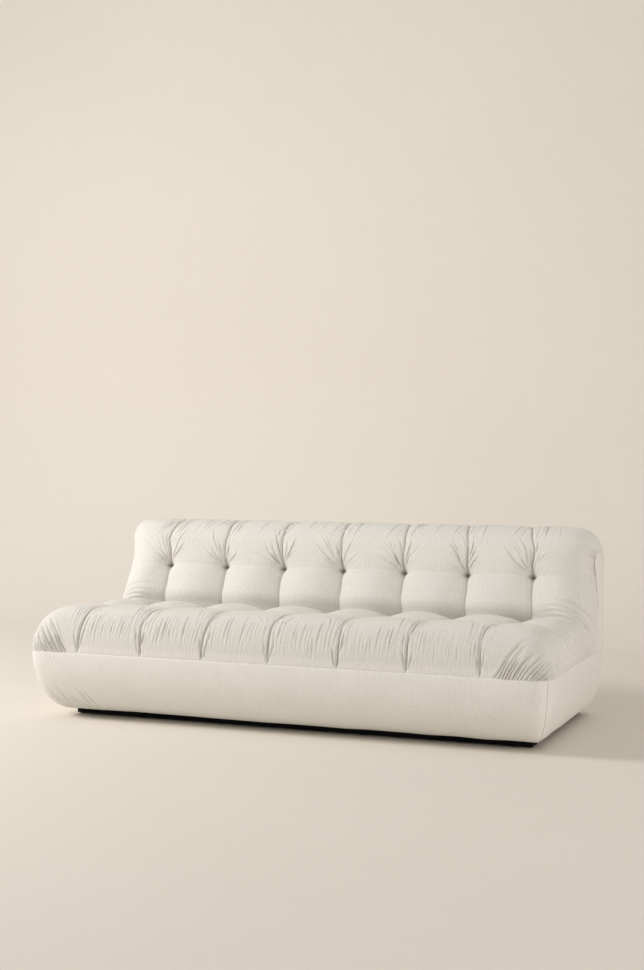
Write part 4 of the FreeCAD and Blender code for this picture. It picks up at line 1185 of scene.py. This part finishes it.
    def back_end(self, side: Side, seam: np.ndarray) -> ClothGrid:
        """The panel on one end of the back.

        Args:
            side: Which end.
            seam: The back cover's right end seam, from the crease over to the rear.

        Returns:
            The panel as rings about its middle, with its faces outwards.
        """
        sizes = self.sizes
        above = seam[seam[:, 2] > sizes.seam_height + 0.002]
        foot = np.array([[sizes.half_width, sizes.rear_y - sizes.rear_round + 0.004, sizes.seam_height]])
        start = np.array([[sizes.half_width, above[0, 1], sizes.seam_height]])
        corners = np.concatenate([start, above[::2], foot, start])
        length = np.concatenate([[0.0], np.cumsum(np.linalg.norm(np.diff(corners, axis=0), axis=1))])
        sample = np.linspace(0.0, length[-1], 241)
        outline = np.stack([np.interp(sample, length, corners[:, axis]) for axis in (0, 1, 2)], axis=1)
        middle_y = 0.5 * (above[len(above) // 8, 1] + foot[0, 1])
        middle = np.array([sizes.half_width - self.back_end_dip, middle_y, self.back_end_middle])
        ring = np.linspace(1.0, 0.004, 26)[:, None, None]
        ease = ring ** 2 * (3.0 - 2.0 * ring)
        points = middle + (outline - middle) * np.concatenate([ease, ring, ring], axis=2)
        points[..., 0] += self.back_end_bulge * (1.0 - ring[..., 0] ** 2) - self.back_end_bulge
        points[..., 0] *= side.value
        if side is Side.RIGHT:
            points = points[:, ::-1]
        return ClothGrid(points, points[..., 1], points[..., 2])


class StripRow:
    """A Geometry Nodes tree that sets a row of equal strips side by side."""

    def __init__(self) -> None:
        """Builds the tree once."""
        tree = bpy.data.node_groups.new("strip_row", "GeometryNodeTree")
        tree.interface.new_socket("Geometry", in_out="OUTPUT", socket_type="NodeSocketGeometry")
        kinds = {"Strip": "Object", "Count": "Int", "Pitch": "Float", "Turn": "Float", "Seed": "Int",
                 "Finish": "Material"}
        self.keys = {
            name: tree.interface.new_socket(name, in_out="INPUT", socket_type=f"NodeSocket{kind}").identifier
            for name, kind in kinds.items()
        }
        sheet = NodeSheet(tree)
        source = sheet.add("NodeGroupInput")
        result = sheet.add("NodeGroupOutput")
        line = sheet.add("GeometryNodeMeshLine", mode="OFFSET")
        sheet.join(source.outputs["Count"], line.inputs["Count"])
        offset = sheet.add("ShaderNodeCombineXYZ")
        sheet.join(source.outputs["Pitch"], offset.inputs["X"])
        sheet.join(offset.outputs[0], line.inputs["Offset"])
        half = sheet.math("MULTIPLY", sheet.math("SUBTRACT", source.outputs["Count"], 1.0), -0.5)
        start = sheet.add("ShaderNodeCombineXYZ")
        sheet.join(sheet.math("MULTIPLY", half, source.outputs["Pitch"]), start.inputs["X"])
        sheet.join(start.outputs[0], line.inputs["Start Location"])
        piece = sheet.add("GeometryNodeObjectInfo")
        sheet.join(source.outputs["Strip"], piece.inputs["Object"])
        chance = sheet.add("FunctionNodeRandomValue", data_type="FLOAT")
        sheet.join(sheet.math("MULTIPLY", source.outputs["Turn"], -1.0), chance.inputs[2])
        sheet.join(source.outputs["Turn"], chance.inputs[3])
        sheet.join(source.outputs["Seed"], chance.inputs["Seed"])
        turn = sheet.add("ShaderNodeCombineXYZ")
        sheet.join(chance.outputs[1], turn.inputs["Z"])
        placed = sheet.add("GeometryNodeInstanceOnPoints")
        sheet.join(line.outputs["Mesh"], placed.inputs["Points"])
        sheet.join(piece.outputs["Geometry"], placed.inputs["Instance"])
        sheet.join(turn.outputs[0], placed.inputs["Rotation"])
        real = sheet.add("GeometryNodeRealizeInstances")
        sheet.join(placed.outputs["Instances"], real.inputs["Geometry"])
        finish = sheet.add("GeometryNodeSetMaterial")
        sheet.join(real.outputs["Geometry"], finish.inputs["Geometry"])
        sheet.join(source.outputs["Finish"], finish.inputs["Material"])
        sheet.join(finish.outputs["Geometry"], result.inputs["Geometry"])
        self.tree = tree

    def build(self, name: str, strip: bpy.types.Object, settings: dict[str, object]) -> bpy.types.Object:
        """Makes the row as a plain mesh.

        Args:
            name: Name of the row.
            strip: The strip to repeat, which is removed afterwards.
            settings: Values of the tree's named inputs.

        Returns:
            The row.
        """
        host = bpy.data.objects.new(f"{name}_host", bpy.data.meshes.new(f"{name}_host"))
        bpy.context.scene.collection.objects.link(host)
        modifier = host.modifiers.new("row", "NODES")
        modifier.node_group = self.tree
        modifier[self.keys["Strip"]] = strip
        for key, value in settings.items():
            modifier[self.keys[key]] = value
        bpy.context.view_layer.update()
        mesh = bpy.data.meshes.new_from_object(host.evaluated_get(bpy.context.evaluated_depsgraph_get()))
        mesh.name = name
        host.modifiers.clear()
        bpy.data.objects.remove(host)
        bpy.data.objects.remove(strip)
        return MeshMaker.link(name, mesh)


@dataclass
class InnerCloth:
    """The cloth inside and under the sofa: webbing, lining, felt and dust cover."""

    sizes: SofaSizes
    lower: tuple[float, float] = (0.2351, 0.3446)
    length: float = 0.3200

    def slope(self, half: float, columns: int, belly: float, forward: float) -> ClothGrid:
        """A strip on the slope behind the back's foam, with its faces to the front.

        Args:
            half: Half of its width.
            columns: Number of points across it.
            belly: How far it sags between the rails.
            forward: How far it lies in front of the webbing.

        Returns:
            The strip.
        """
        widths = np.linspace(-half, half, columns)
        along, across = np.meshgrid(np.linspace(0.0, 1.0, 25), widths, indexing="ij")
        rake = self.sizes.rake
        out = forward - belly * np.sin(math.pi * along) * (1.0 + 0.2 * LineNoise(83).at(across, 0.14))
        y = self.lower[0] + self.length * along * math.sin(rake) - out * math.cos(rake)
        z = self.lower[1] + self.length * along * math.cos(rake) + out * math.sin(rake)
        return ClothGrid(np.stack([across, y, z], axis=2), across, self.length * along)

    @staticmethod
    def level(box: tuple[float, float, float, float], height: float, belly: float, seed: int) -> ClothGrid:
        """A level sheet, with its faces up.

        Args:
            box: Its X and Y limits.
            height: Its height at the rim.
            belly: How far its middle sags.
            seed: Seed of its unevenness.

        Returns:
            The sheet.
        """
        left, right, front, rear = box
        y, x = np.meshgrid(np.linspace(front, rear, 31), np.linspace(left, right, 61), indexing="ij")
        across, along = (x - left) / (right - left), (y - front) / (rear - front)
        hang = np.sin(math.pi * across) * np.sin(math.pi * along)
        uneven = 0.7 + 0.3 * LineNoise(seed).at(x + 0.6 * y, 0.12)
        return ClothGrid(np.stack([x, y, height - belly * hang * uneven], axis=2), x, y)


@dataclass(frozen=True)
class CameraSetup:
    """The photograph's viewpoint."""

    place: tuple[float, float, float] = (2.327, -5.651, 1.113)
    yaw: float = 22.27
    pitch: float = 1.56
    lens: float = 55.93
    sensor: float = 36.0

    def build(self) -> None:
        """Makes the camera and hands it to the scene."""
        data = bpy.data.cameras.new("photo_view")
        data.lens = self.lens
        data.sensor_width = self.sensor
        camera = bpy.data.objects.new("photo_view", data)
        camera.location = self.place
        camera.rotation_euler = (math.radians(90.0 - self.pitch), 0.0, math.radians(self.yaw))
        bpy.context.scene.collection.objects.link(camera)
        bpy.context.scene.camera = camera


class NodeSheet:
    """A small helper that adds and joins nodes in one tree."""

    def __init__(self, tree: bpy.types.NodeTree) -> None:
        """Keeps the tree and empties it."""
        self.tree = tree
        tree.nodes.clear()

    def add(self, kind: str, **settings: object) -> bpy.types.Node:
        """Adds a node.

        Args:
            kind: Blender's name of the node type.
            **settings: Properties to set on it.

        Returns:
            The node.
        """
        made = self.tree.nodes.new(kind)
        for name, value in settings.items():
            setattr(made, name, value)
        return made

    def join(self, source: bpy.types.NodeSocket, target: bpy.types.NodeSocket) -> None:
        """Links an output to an input."""
        self.tree.links.new(source, target)

    def feed(self, target: bpy.types.NodeSocket, value: object) -> None:
        """Links a socket to an input, or sets the input to a number or a colour.

        Args:
            target: The input.
            value: Socket, number or colour.
        """
        if isinstance(value, bpy.types.NodeSocket):
            self.join(value, target)
        else:
            target.default_value = value

    def feed_named(self, node: bpy.types.Node, values: dict[str, object]) -> None:
        """Feeds several of a node's inputs by name."""
        for name, value in values.items():
            self.feed(node.inputs[name], value)

    def math(self, operation: str, first: object, second: object = 0.0) -> bpy.types.NodeSocket:
        """Adds a Math node.

        Args:
            operation: Blender's name of the operation.
            first: Socket or number for the first input.
            second: Socket or number for the second input.

        Returns:
            The result's socket.
        """
        made = self.add("ShaderNodeMath", operation=operation)
        self.feed(made.inputs[0], first)
        self.feed(made.inputs[1], second)
        return made.outputs[0]

    def blend(self, share: object, low: object, high: object) -> bpy.types.NodeSocket:
        """Adds a colour Mix node.

        Args:
            share: Socket or number for the mix.
            low: Colour at share 0.
            high: Colour at share 1.

        Returns:
            The colour's socket.
        """
        made = self.add("ShaderNodeMix", data_type="RGBA")
        for slot, value in ((0, share), (6, low), (7, high)):
            self.feed(made.inputs[slot], value)
        return made.outputs[2]

    def noise(self, place: bpy.types.NodeSocket, scale: object, detail: float) -> bpy.types.NodeSocket:
        """Adds a Noise Texture node.

        Args:
            place: Socket with the place on the piece.
            scale: Socket or number for the scale.
            detail: How many finer layers it has.

        Returns:
            The value's socket.
        """
        made = self.add("ShaderNodeTexNoise")
        self.feed_named(made, {"Vector": place, "Scale": scale, "Detail": detail})
        return made.outputs["Fac"]

    def remap(self, value: bpy.types.NodeSocket, limits: dict[str, object]) -> bpy.types.NodeSocket:
        """Adds a Map Range node.

        Args:
            value: Socket with the value to map.
            limits: Ends of the two ranges by the names of their inputs.

        Returns:
            The result's socket.
        """
        made = self.add("ShaderNodeMapRange")
        self.feed_named(made, {"Value": value, **limits})
        return made.outputs["Result"]


class FinishSheet(NodeSheet):
    """The node tree of one new material, with its shader in place."""

    def __init__(self, name: str) -> None:
        """Makes the material, its output and its shader."""
        self.material = bpy.data.materials.new(name)
        self.material.use_nodes = True
        super().__init__(self.material.node_tree)
        self.result = self.add("ShaderNodeOutputMaterial")
        self.shader = self.add("ShaderNodeBsdfPrincipled")
        self.join(self.shader.outputs[0], self.result.inputs["Surface"])

    def bump(self, height: bpy.types.NodeSocket, strength: float, distance: float) -> None:
        """Raises the surface by a height that varies over it.

        Args:
            height: Socket with the height.
            strength: How much of it is shown.
            distance: How far a height of 1 reaches, in metres.
        """
        made = self.add("ShaderNodeBump")
        self.feed_named(made, {"Strength": strength, "Distance": distance, "Height": height})
        self.join(made.outputs["Normal"], self.shader.inputs["Normal"])


class EffectGroups:
    """Shader node groups that several finishes share."""

    def __init__(self) -> None:
        """Builds each group once."""
        self.ribs = self.make_ribs()
        self.mottle = self.make_mottle()

    @staticmethod
    def start(name: str, inputs: dict[str, str],
              outputs: dict[str, str]) -> tuple[NodeSheet, bpy.types.Node, bpy.types.Node]:
        """Starts a group with named sockets.

        Args:
            name: Name of the group.
            inputs: Kinds of its inputs by name.
            outputs: Kinds of its outputs by name.

        Returns:
            The group's sheet, its input node and its output node.
        """
        group = bpy.data.node_groups.new(name, "ShaderNodeTree")
        for way, sockets in (("INPUT", inputs), ("OUTPUT", outputs)):
            for label, kind in sockets.items():
                group.interface.new_socket(label, in_out=way, socket_type=f"NodeSocket{kind}")
        sheet = NodeSheet(group)
        return sheet, sheet.add("NodeGroupInput"), sheet.add("NodeGroupOutput")

    @classmethod
    def make_ribs(cls) -> bpy.types.NodeTree:
        """Corduroy ribs across one UV direction, broken up by the lie of the pile."""
        sheet, source, result = cls.start(
            "corduroy_ribs",
            {"Run": "Float", "Place": "Vector", "Pitch": "Float", "Crown": "Color", "Groove": "Color",
             "Brushed": "Color"},
            {"Color": "Color", "Height": "Float"},
        )
        given = source.outputs
        turns = sheet.math("MULTIPLY", sheet.math("DIVIDE", given["Run"], given["Pitch"]), math.pi)
        rib = sheet.math("POWER", sheet.math("ABSOLUTE", sheet.math("SINE", turns)), 0.6)
        fuzz = sheet.noise(given["Place"], 900.0, 2.0)
        lie = sheet.noise(given["Place"], 9.0, 4.0)
        nap_and_shade = sheet.noise(given["Place"], 130.0, 3.0)
        worn = sheet.remap(nap_and_shade, {"From Min": 0.40, "From Max": 0.66, "To Min": 1.0, "To Max": 0.72})
        ribbed = sheet.blend(sheet.math("MULTIPLY", rib, worn), given["Groove"], given["Crown"])
        spread = sheet.remap(lie, {"From Min": 0.42, "From Max": 0.72})
        brushed = sheet.blend(sheet.math("MULTIPLY", spread, 0.5), ribbed, given["Brushed"])
        height = sheet.math("ADD", rib, sheet.math("MULTIPLY", fuzz, 0.35))
        sheet.feed_named(result, {"Color": brushed, "Height": height})
        return sheet.tree

    @classmethod
    def make_mottle(cls) -> bpy.types.NodeTree:
        """Uneven colour and roughness at two scales, with an even surface grain."""
        sheet, source, result = cls.start(
            "mottle",
            {"Place": "Vector", "Scale": "Float", "Light": "Color", "Dark": "Color", "Smoothest": "Float",
             "Roughest": "Float"},
            {"Color": "Color", "Roughness": "Float", "Height": "Float"},
        )
        given = source.outputs
        broad = sheet.noise(given["Place"], given["Scale"], 6.0)
        fine = sheet.noise(given["Place"], sheet.math("MULTIPLY", given["Scale"], 14.0), 3.0)
        mix = sheet.math("ADD", sheet.math("MULTIPLY", broad, 0.65), sheet.math("MULTIPLY", fine, 0.35))
        spread = sheet.remap(mix, {"From Min": 0.35, "From Max": 0.65})
        colour = sheet.blend(spread, given["Dark"], given["Light"])
        rough = sheet.remap(spread, {"To Min": given["Smoothest"], "To Max": given["Roughest"]})
        sheet.feed_named(result, {"Color": colour, "Roughness": rough, "Height": fine})
        return sheet.tree


@dataclass(frozen=True)
class Corduroy:
    """Ivory corduroy with narrow ribs, and painted shade from a point attribute of the mesh."""

    name: str
    crown: Colour = (0.868, 0.849, 0.805, 1.0)
    groove: Colour = (0.590, 0.565, 0.517, 1.0)
    brushed: Colour = (0.800, 0.775, 0.725, 1.0)
    # Colour of the painted shade.
    shaded: Colour = (0.150, 0.125, 0.098, 1.0)
    pitch: float = 0.0062
    relief: float = 0.0012

    def build(self, groups: EffectGroups) -> bpy.types.Material:
        """Makes the material.

        Args:
            groups: The shared shader node groups.

        Returns:
            The material.
        """
        sheet = FinishSheet(self.name)
        sheet.feed_named(sheet.shader, {
            "Roughness": 0.92, "Specular IOR Level": 0.15, "Sheen Weight": 0.22, "Sheen Roughness": 0.55,
            "Sheen Tint": (1.0, 0.965, 0.90, 1.0),
        })
        flat = sheet.add("ShaderNodeUVMap", uv_map="flat_cut")
        split = sheet.add("ShaderNodeSeparateXYZ")
        sheet.join(flat.outputs["UV"], split.inputs[0])
        place = sheet.add("ShaderNodeTexCoord")
        ribs = sheet.add("ShaderNodeGroup", node_tree=groups.ribs)
        sheet.feed_named(ribs, {
            "Run": split.outputs["X"], "Place": place.outputs["Object"], "Pitch": self.pitch,
            "Crown": self.crown, "Groove": self.groove, "Brushed": self.brushed,
        })
        # Painted shade: the colour is mixed toward the shaded colour by the mesh's painted shade share.
        hollow = sheet.add("ShaderNodeAttribute", attribute_name="hollow")
        depth = sheet.math("MULTIPLY", sheet.math("POWER", hollow.outputs["Fac"], 1.7), 0.85)
        sheet.join(sheet.blend(depth, ribs.outputs["Color"], self.shaded), sheet.shader.inputs["Base Color"])
        sheet.bump(ribs.outputs["Height"], 0.55, self.relief)
        return sheet.material


@dataclass(frozen=True)
class Mottled:
    """A plain finish with uneven colour, roughness and grain."""

    name: str
    light: Colour
    dark: Colour
    scale: float
    smoothest: float
    roughest: float
    grain: float
    metallic: float = 0.0
    shine: float = 0.5
    stretch: tuple[float, float, float] = (1.0, 1.0, 1.0)

    def build(self, groups: EffectGroups) -> bpy.types.Material:
        """Makes the material.

        Args:
            groups: The shared shader node groups.

        Returns:
            The material.
        """
        sheet = FinishSheet(self.name)
        sheet.feed_named(sheet.shader, {"Metallic": self.metallic, "Specular IOR Level": self.shine})
        place = sheet.add("ShaderNodeTexCoord")
        turn = sheet.add("ShaderNodeMapping")
        sheet.feed_named(turn, {"Scale": self.stretch, "Vector": place.outputs["Object"]})
        mottle = sheet.add("ShaderNodeGroup", node_tree=groups.mottle)
        sheet.feed_named(mottle, {
            "Place": turn.outputs["Vector"], "Scale": self.scale, "Light": self.light, "Dark": self.dark,
            "Smoothest": self.smoothest, "Roughest": self.roughest,
        })
        for name, target in (("Color", "Base Color"), ("Roughness", "Roughness")):
            sheet.join(mottle.outputs[name], sheet.shader.inputs[target])
        sheet.bump(mottle.outputs["Height"], 0.4, self.grain)
        return sheet.material


@dataclass
class Studio:
    """A pale warm floor that curves up into a backdrop, and soft light from the upper left."""

    floor_light: Colour = (0.806, 0.757, 0.688, 1.0)
    floor_dark: Colour = (0.790, 0.740, 0.669, 1.0)
    room_colour: Colour = (1.0, 0.972, 0.93, 1.0)
    room_strength: float = 0.51
    reach: float = 14.0
    curve_start: float = 2.2
    curve_radius: float = 1.6
    wall_height: float = 9.0

    def build(self, groups: EffectGroups) -> None:
        """Makes the floor, the lamps and the world."""
        start, radius = self.curve_start, self.curve_radius
        profile = [(-self.reach, 0.0), (start, 0.0)]
        turns = np.linspace(0.0, math.pi / 2, 25)
        profile += [(start + radius * math.sin(turn), radius * (1.0 - math.cos(turn))) for turn in turns]
        profile.append((start + radius, self.wall_height))
        line = np.array(profile)
        place = np.zeros((len(line), 2, 3))
        place[:, 0, 0], place[:, 1, 0] = -self.reach, self.reach
        place[:, :, 1:] = line[:, None, :]
        mesh = bpy.data.meshes.new("sweep")
        faces = ClothGrid(place, place[..., 0], place[..., 1]).quads(0, False)
        mesh.from_pydata(place.reshape(-1, 3).tolist(), [], faces)
        sweep = MeshMaker.link("sweep", mesh)
        finish = Mottled("plaster", self.floor_light, self.floor_dark, 0.8, 0.85, 0.95, 0.0002)
        plaster = finish.build(groups)
        self.open_behind(plaster.node_tree)
        sweep.data.materials.append(plaster)
        self.lamp("window", (-5.3, -2.7, 3.6), (0.1, 0.0, 0.35), 2.0, 292.0, (1.0, 0.985, 0.955))
        self.lamp("fill", (6.2, -2.2, 1.0), (0.4, 0.0, 0.35), 3.0, 112.0, (1.0, 0.975, 0.935))
        world = bpy.data.worlds.new("room")
        bpy.context.scene.world = world
        world.use_nodes = True
        glow = world.node_tree.nodes["Background"]
        glow.inputs["Color"].default_value = self.room_colour
        glow.inputs["Strength"].default_value = self.room_strength

    @staticmethod
    def open_behind(tree: bpy.types.NodeTree) -> None:
        """Lets the backdrop be seen through from its rear side."""
        shader = next(node for node in tree.nodes if node.bl_idname == "ShaderNodeBsdfPrincipled")
        result = next(node for node in tree.nodes if node.bl_idname == "ShaderNodeOutputMaterial")
        face = tree.nodes.new("ShaderNodeNewGeometry")
        clear = tree.nodes.new("ShaderNodeBsdfTransparent")
        choice = tree.nodes.new("ShaderNodeMixShader")
        tree.links.new(face.outputs["Backfacing"], choice.inputs[0])
        tree.links.new(shader.outputs[0], choice.inputs[1])
        tree.links.new(clear.outputs[0], choice.inputs[2])
        tree.links.new(choice.outputs[0], result.inputs["Surface"])

    @staticmethod
    def lamp(name: str, place: tuple[float, float, float], aim: tuple[float, float, float], size: float,
             power: float, colour: tuple[float, float, float]) -> None:
        """Adds a square area lamp.

        Args:
            name: Name of the lamp.
            place: Where it is.
            aim: The point it faces.
            size: Length of its sides.
            power: Its power in watts.
            colour: Its colour.
        """
        data = bpy.data.lights.new(name, "AREA")
        data.size = size
        data.energy = power
        data.color = colour
        lamp = bpy.data.objects.new(name, data)
        lamp.location = place
        toward = np.array(place) - np.array(aim)
        lamp.rotation_euler = (
            math.atan2(math.hypot(toward[0], toward[1]), toward[2]), 0.0, math.atan2(toward[0], -toward[1])
        )
        bpy.context.scene.collection.objects.link(lamp)


@dataclass
class Sofa:
    """All the pieces that dress the frame."""

    frame: dict
    groups: EffectGroups
    sizes: SofaSizes = field(default_factory=SofaSizes)
    finishes: dict[str, bpy.types.Material] = field(default_factory=dict)
    cover_thickness: float = 0.003
    welt_radius: float = 0.0022

    def dress(self, piece: bpy.types.Object, finish: str, slot: str, *nodes: str) -> bpy.types.Object:
        """Gives a piece its material and body, and hides the CAD nodes that it stands for.

        Args:
            piece: The finished piece.
            finish: Name of its material.
            slot: The record's material slot; not used.
            *nodes: The CAD nodes that it stands for.

        Returns:
            The piece.
        """
        piece.data.materials.clear()
        piece.data.materials.append(self.finishes[finish])
        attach(piece, BODY)
        if nodes:
            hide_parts(*nodes)
        LOG.info("%s: %d faces", piece.name, len(piece.data.polygons))
        return piece

    def make_finishes(self) -> None:
        """Builds every material once."""
        kinds = [
            Corduroy("ivory_corduroy"),
            Corduroy("smooth_corduroy", (0.905, 0.887, 0.845, 1.0), (0.665, 0.640, 0.592, 1.0),
                     (0.860, 0.838, 0.790, 1.0)),
            Mottled("black_paint", (0.006, 0.006, 0.0065, 1.0), (0.003, 0.003, 0.003, 1.0),
                    40.0, 0.5, 0.65, 0.0002, shine=0.1),
            Mottled("birch_ply", (0.66, 0.50, 0.32, 1.0), (0.54, 0.38, 0.22, 1.0),
                    9.0, 0.55, 0.75, 0.0004, stretch=(1.0, 1.0, 8.0)),
            Mottled("softwood", (0.60, 0.42, 0.24, 1.0), (0.47, 0.30, 0.15, 1.0),
                    14.0, 0.5, 0.7, 0.0004, stretch=(0.12, 1.0, 1.0)),
            Mottled("pressed_board", (0.20, 0.125, 0.07, 1.0), (0.13, 0.08, 0.045, 1.0),
                    30.0, 0.6, 0.8, 0.0002),
            Mottled("zinc_steel", (0.62, 0.63, 0.65, 1.0), (0.44, 0.45, 0.47, 1.0),
                    60.0, 0.25, 0.45, 0.0001, metallic=1.0),
            Mottled("moulded_plastic", (0.030, 0.030, 0.031, 1.0), (0.018, 0.018, 0.018, 1.0),
                    90.0, 0.4, 0.6, 0.0001),
            Mottled("waxed_twine", (0.70, 0.66, 0.56, 1.0), (0.55, 0.50, 0.40, 1.0),
                    220.0, 0.5, 0.7, 0.0003),
            Mottled("open_foam", (0.79, 0.69, 0.45, 1.0), (0.68, 0.57, 0.34, 1.0),
                    130.0, 0.9, 0.98, 0.0012),
            Mottled("needled_felt", (0.115, 0.110, 0.105, 1.0), (0.070, 0.067, 0.064, 1.0),
                    160.0, 0.9, 0.98, 0.0009),
            Mottled("elastic_web", (0.022, 0.022, 0.024, 1.0), (0.012, 0.012, 0.013, 1.0),
                    240.0, 0.75, 0.9, 0.0006),
            Mottled("dust_cloth", (0.016, 0.016, 0.016, 1.0), (0.009, 0.009, 0.009, 1.0),
                    300.0, 0.85, 0.95, 0.0003),
        ]
        for kind in kinds:
            self.finishes[kind.name] = kind.build(self.groups)

    def dress_frame(self) -> None:
        """Gives each hard CAD node its own finish."""
        by_slot = {
            "black_plinth": "black_paint", "plywood": "birch_ply", "timber": "softwood",
            "hardboard": "pressed_board", "steel": "zinc_steel", "black_plastic": "moulded_plastic",
            "twine": "waxed_twine", "foam": "open_foam", "felt": "needled_felt", "webbing": "elastic_web",
            "dust_cloth": "dust_cloth", "ivory_corduroy": "ivory_corduroy",
        }
        for row in self.frame["record"]["subparts"]:
            node = self.frame["nodes"][row["node"]]
            node.data.materials.clear()
            node.data.materials.append(self.finishes[by_slot[row["material_slot"]]])

    def build(self) -> None:
        """Makes every piece, from the frame outwards."""
        self.make_finishes()
        self.dress_frame()
        cover = "ivory_corduroy"
        seat_cover = SeatCover(self.sizes)
        seat = self.dress(seat_cover.build(), cover, cover, "seat_cover")
        back_cover = BackCover(self.sizes)
        back = self.dress(back_cover.build(), cover, cover, "back_cover")
        base = BaseCloth(self.sizes)
        band, rear = base.band(), base.rear()
        ends = {side: base.end(side) for side in Side}
        hem = self.dress(base.hem(band, ends[Side.RIGHT], rear, ends[Side.LEFT]), cover, cover)
        welts = [hem]
        for side in Side:
            path = band.points[:, 0 if side is Side.LEFT else -1]
            welt = MeshMaker.tube(f"{side.word}_corner_welt", path, self.welt_radius, False)
            welts.append(self.dress(welt, cover, cover))
        self.sheet("front_band_cloth", band, (2.16, 0.35), "front_band", welts=welts)
        seam = back_cover.end_seam()
        for side, cloth in ends.items():
            self.sheet(f"{side.word}_end_cloth", cloth, (0.90, 0.33), f"{side.word}_end_panel", 0.25)
            back_end = base.back_end(side, seam)
            node = f"{side.word}_back_end_panel"
            self.sheet(f"{side.word}_back_end_cloth", back_end, (0.16, 0.40), node, 0.04)
            self.foam(base.end_foam(side, cloth), f"{side.word}_base_foam")
            self.foam(base.back_end_foam(side), f"{side.word}_back_end_foam")
        self.sheet("rear_cloth", rear, (2.23, 0.57), "rear_panel")
        self.foam(base.front_foam(band), "front_foam")
        self.foam(seat_cover.foam(), "seat_foam")
        self.foam(back_cover.foam(), "back_foam")
        self.build_inner_cloth()

    def build_inner_cloth(self) -> None:
        """Makes the webbing, lining, felt and dust cover."""
        inner = InnerCloth(self.sizes)
        strap = MeshMaker.cloth("strap", inner.slope(0.030, 7, 0.002, 0.0), 0.0015)
        settings = {"Count": 14, "Pitch": 0.1375, "Turn": 0.004, "Seed": 5,
                    "Finish": self.finishes["elastic_web"]}
        row = StripRow().build("back_straps", strap, settings)
        self.dress(row, "elastic_web", "webbing", "back_webbing")
        lining = MeshMaker.cloth("back_felt_lining", inner.slope(0.970, 141, 0.002, 0.0048), 0.004)
        self.dress(lining, "needled_felt", "felt", "back_lining")
        level = inner.level((-1.0, 1.0, -0.340, 0.198), 0.2967, 0.0005, 91)
        pad = MeshMaker.cloth("seat_felt", level, 0.0045)
        self.dress(pad, "needled_felt", "felt", "seat_felt_pad")
        bays = (("left", -0.9215, -0.433), ("middle", -0.392, 0.392), ("right", 0.433, 0.9215))
        for name, left, right in bays:
            grid = inner.level((left, right, -0.2465, 0.4515), 0.0278, 0.0016, 97)
            dust = MeshMaker.cloth(f"{name}_dust_cloth", grid, 0.0008)
            self.dress(dust, "dust_cloth", "dust_cloth", "bottom_dust_cover")

    def foam(self, piece: bpy.types.Object, node: str) -> None:
        """Dresses a soft foam piece that stands for one CAD node."""
        self.dress(piece, "open_foam", "foam", node)

    def sheet(self, name: str, grid: ClothGrid, flat: tuple[float, float], node: str,
              area: float | None = None, welts: tuple | list = ()) -> None:
        """Makes a plain cloth panel that is stretched over the base.

        Args:
            name: Name of the piece.
            grid: Its outer face.
            flat: Width and length of its cut; not used.
            node: The CAD node that it stands for.
            area: Area of the cut where it is no rectangle; not used.
            welts: Welts that are sewn to it; not used.
        """
        made = MeshMaker.cloth(name, grid, self.cover_thickness)
        self.dress(made, "smooth_corduroy", "ivory_corduroy", node)


def main() -> None:
    logging.basicConfig(level=logging.INFO, format="%(name)s: %(message)s")
    for item in list(bpy.data.objects):
        bpy.data.objects.remove(item)
    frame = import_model()
    groups = EffectGroups()
    CameraSetup().build()
    Studio().build(groups)
    Sofa(frame, groups).build()
    bpy.context.scene.view_settings.view_transform = "Standard"


if __name__ == "__main__":
    main()
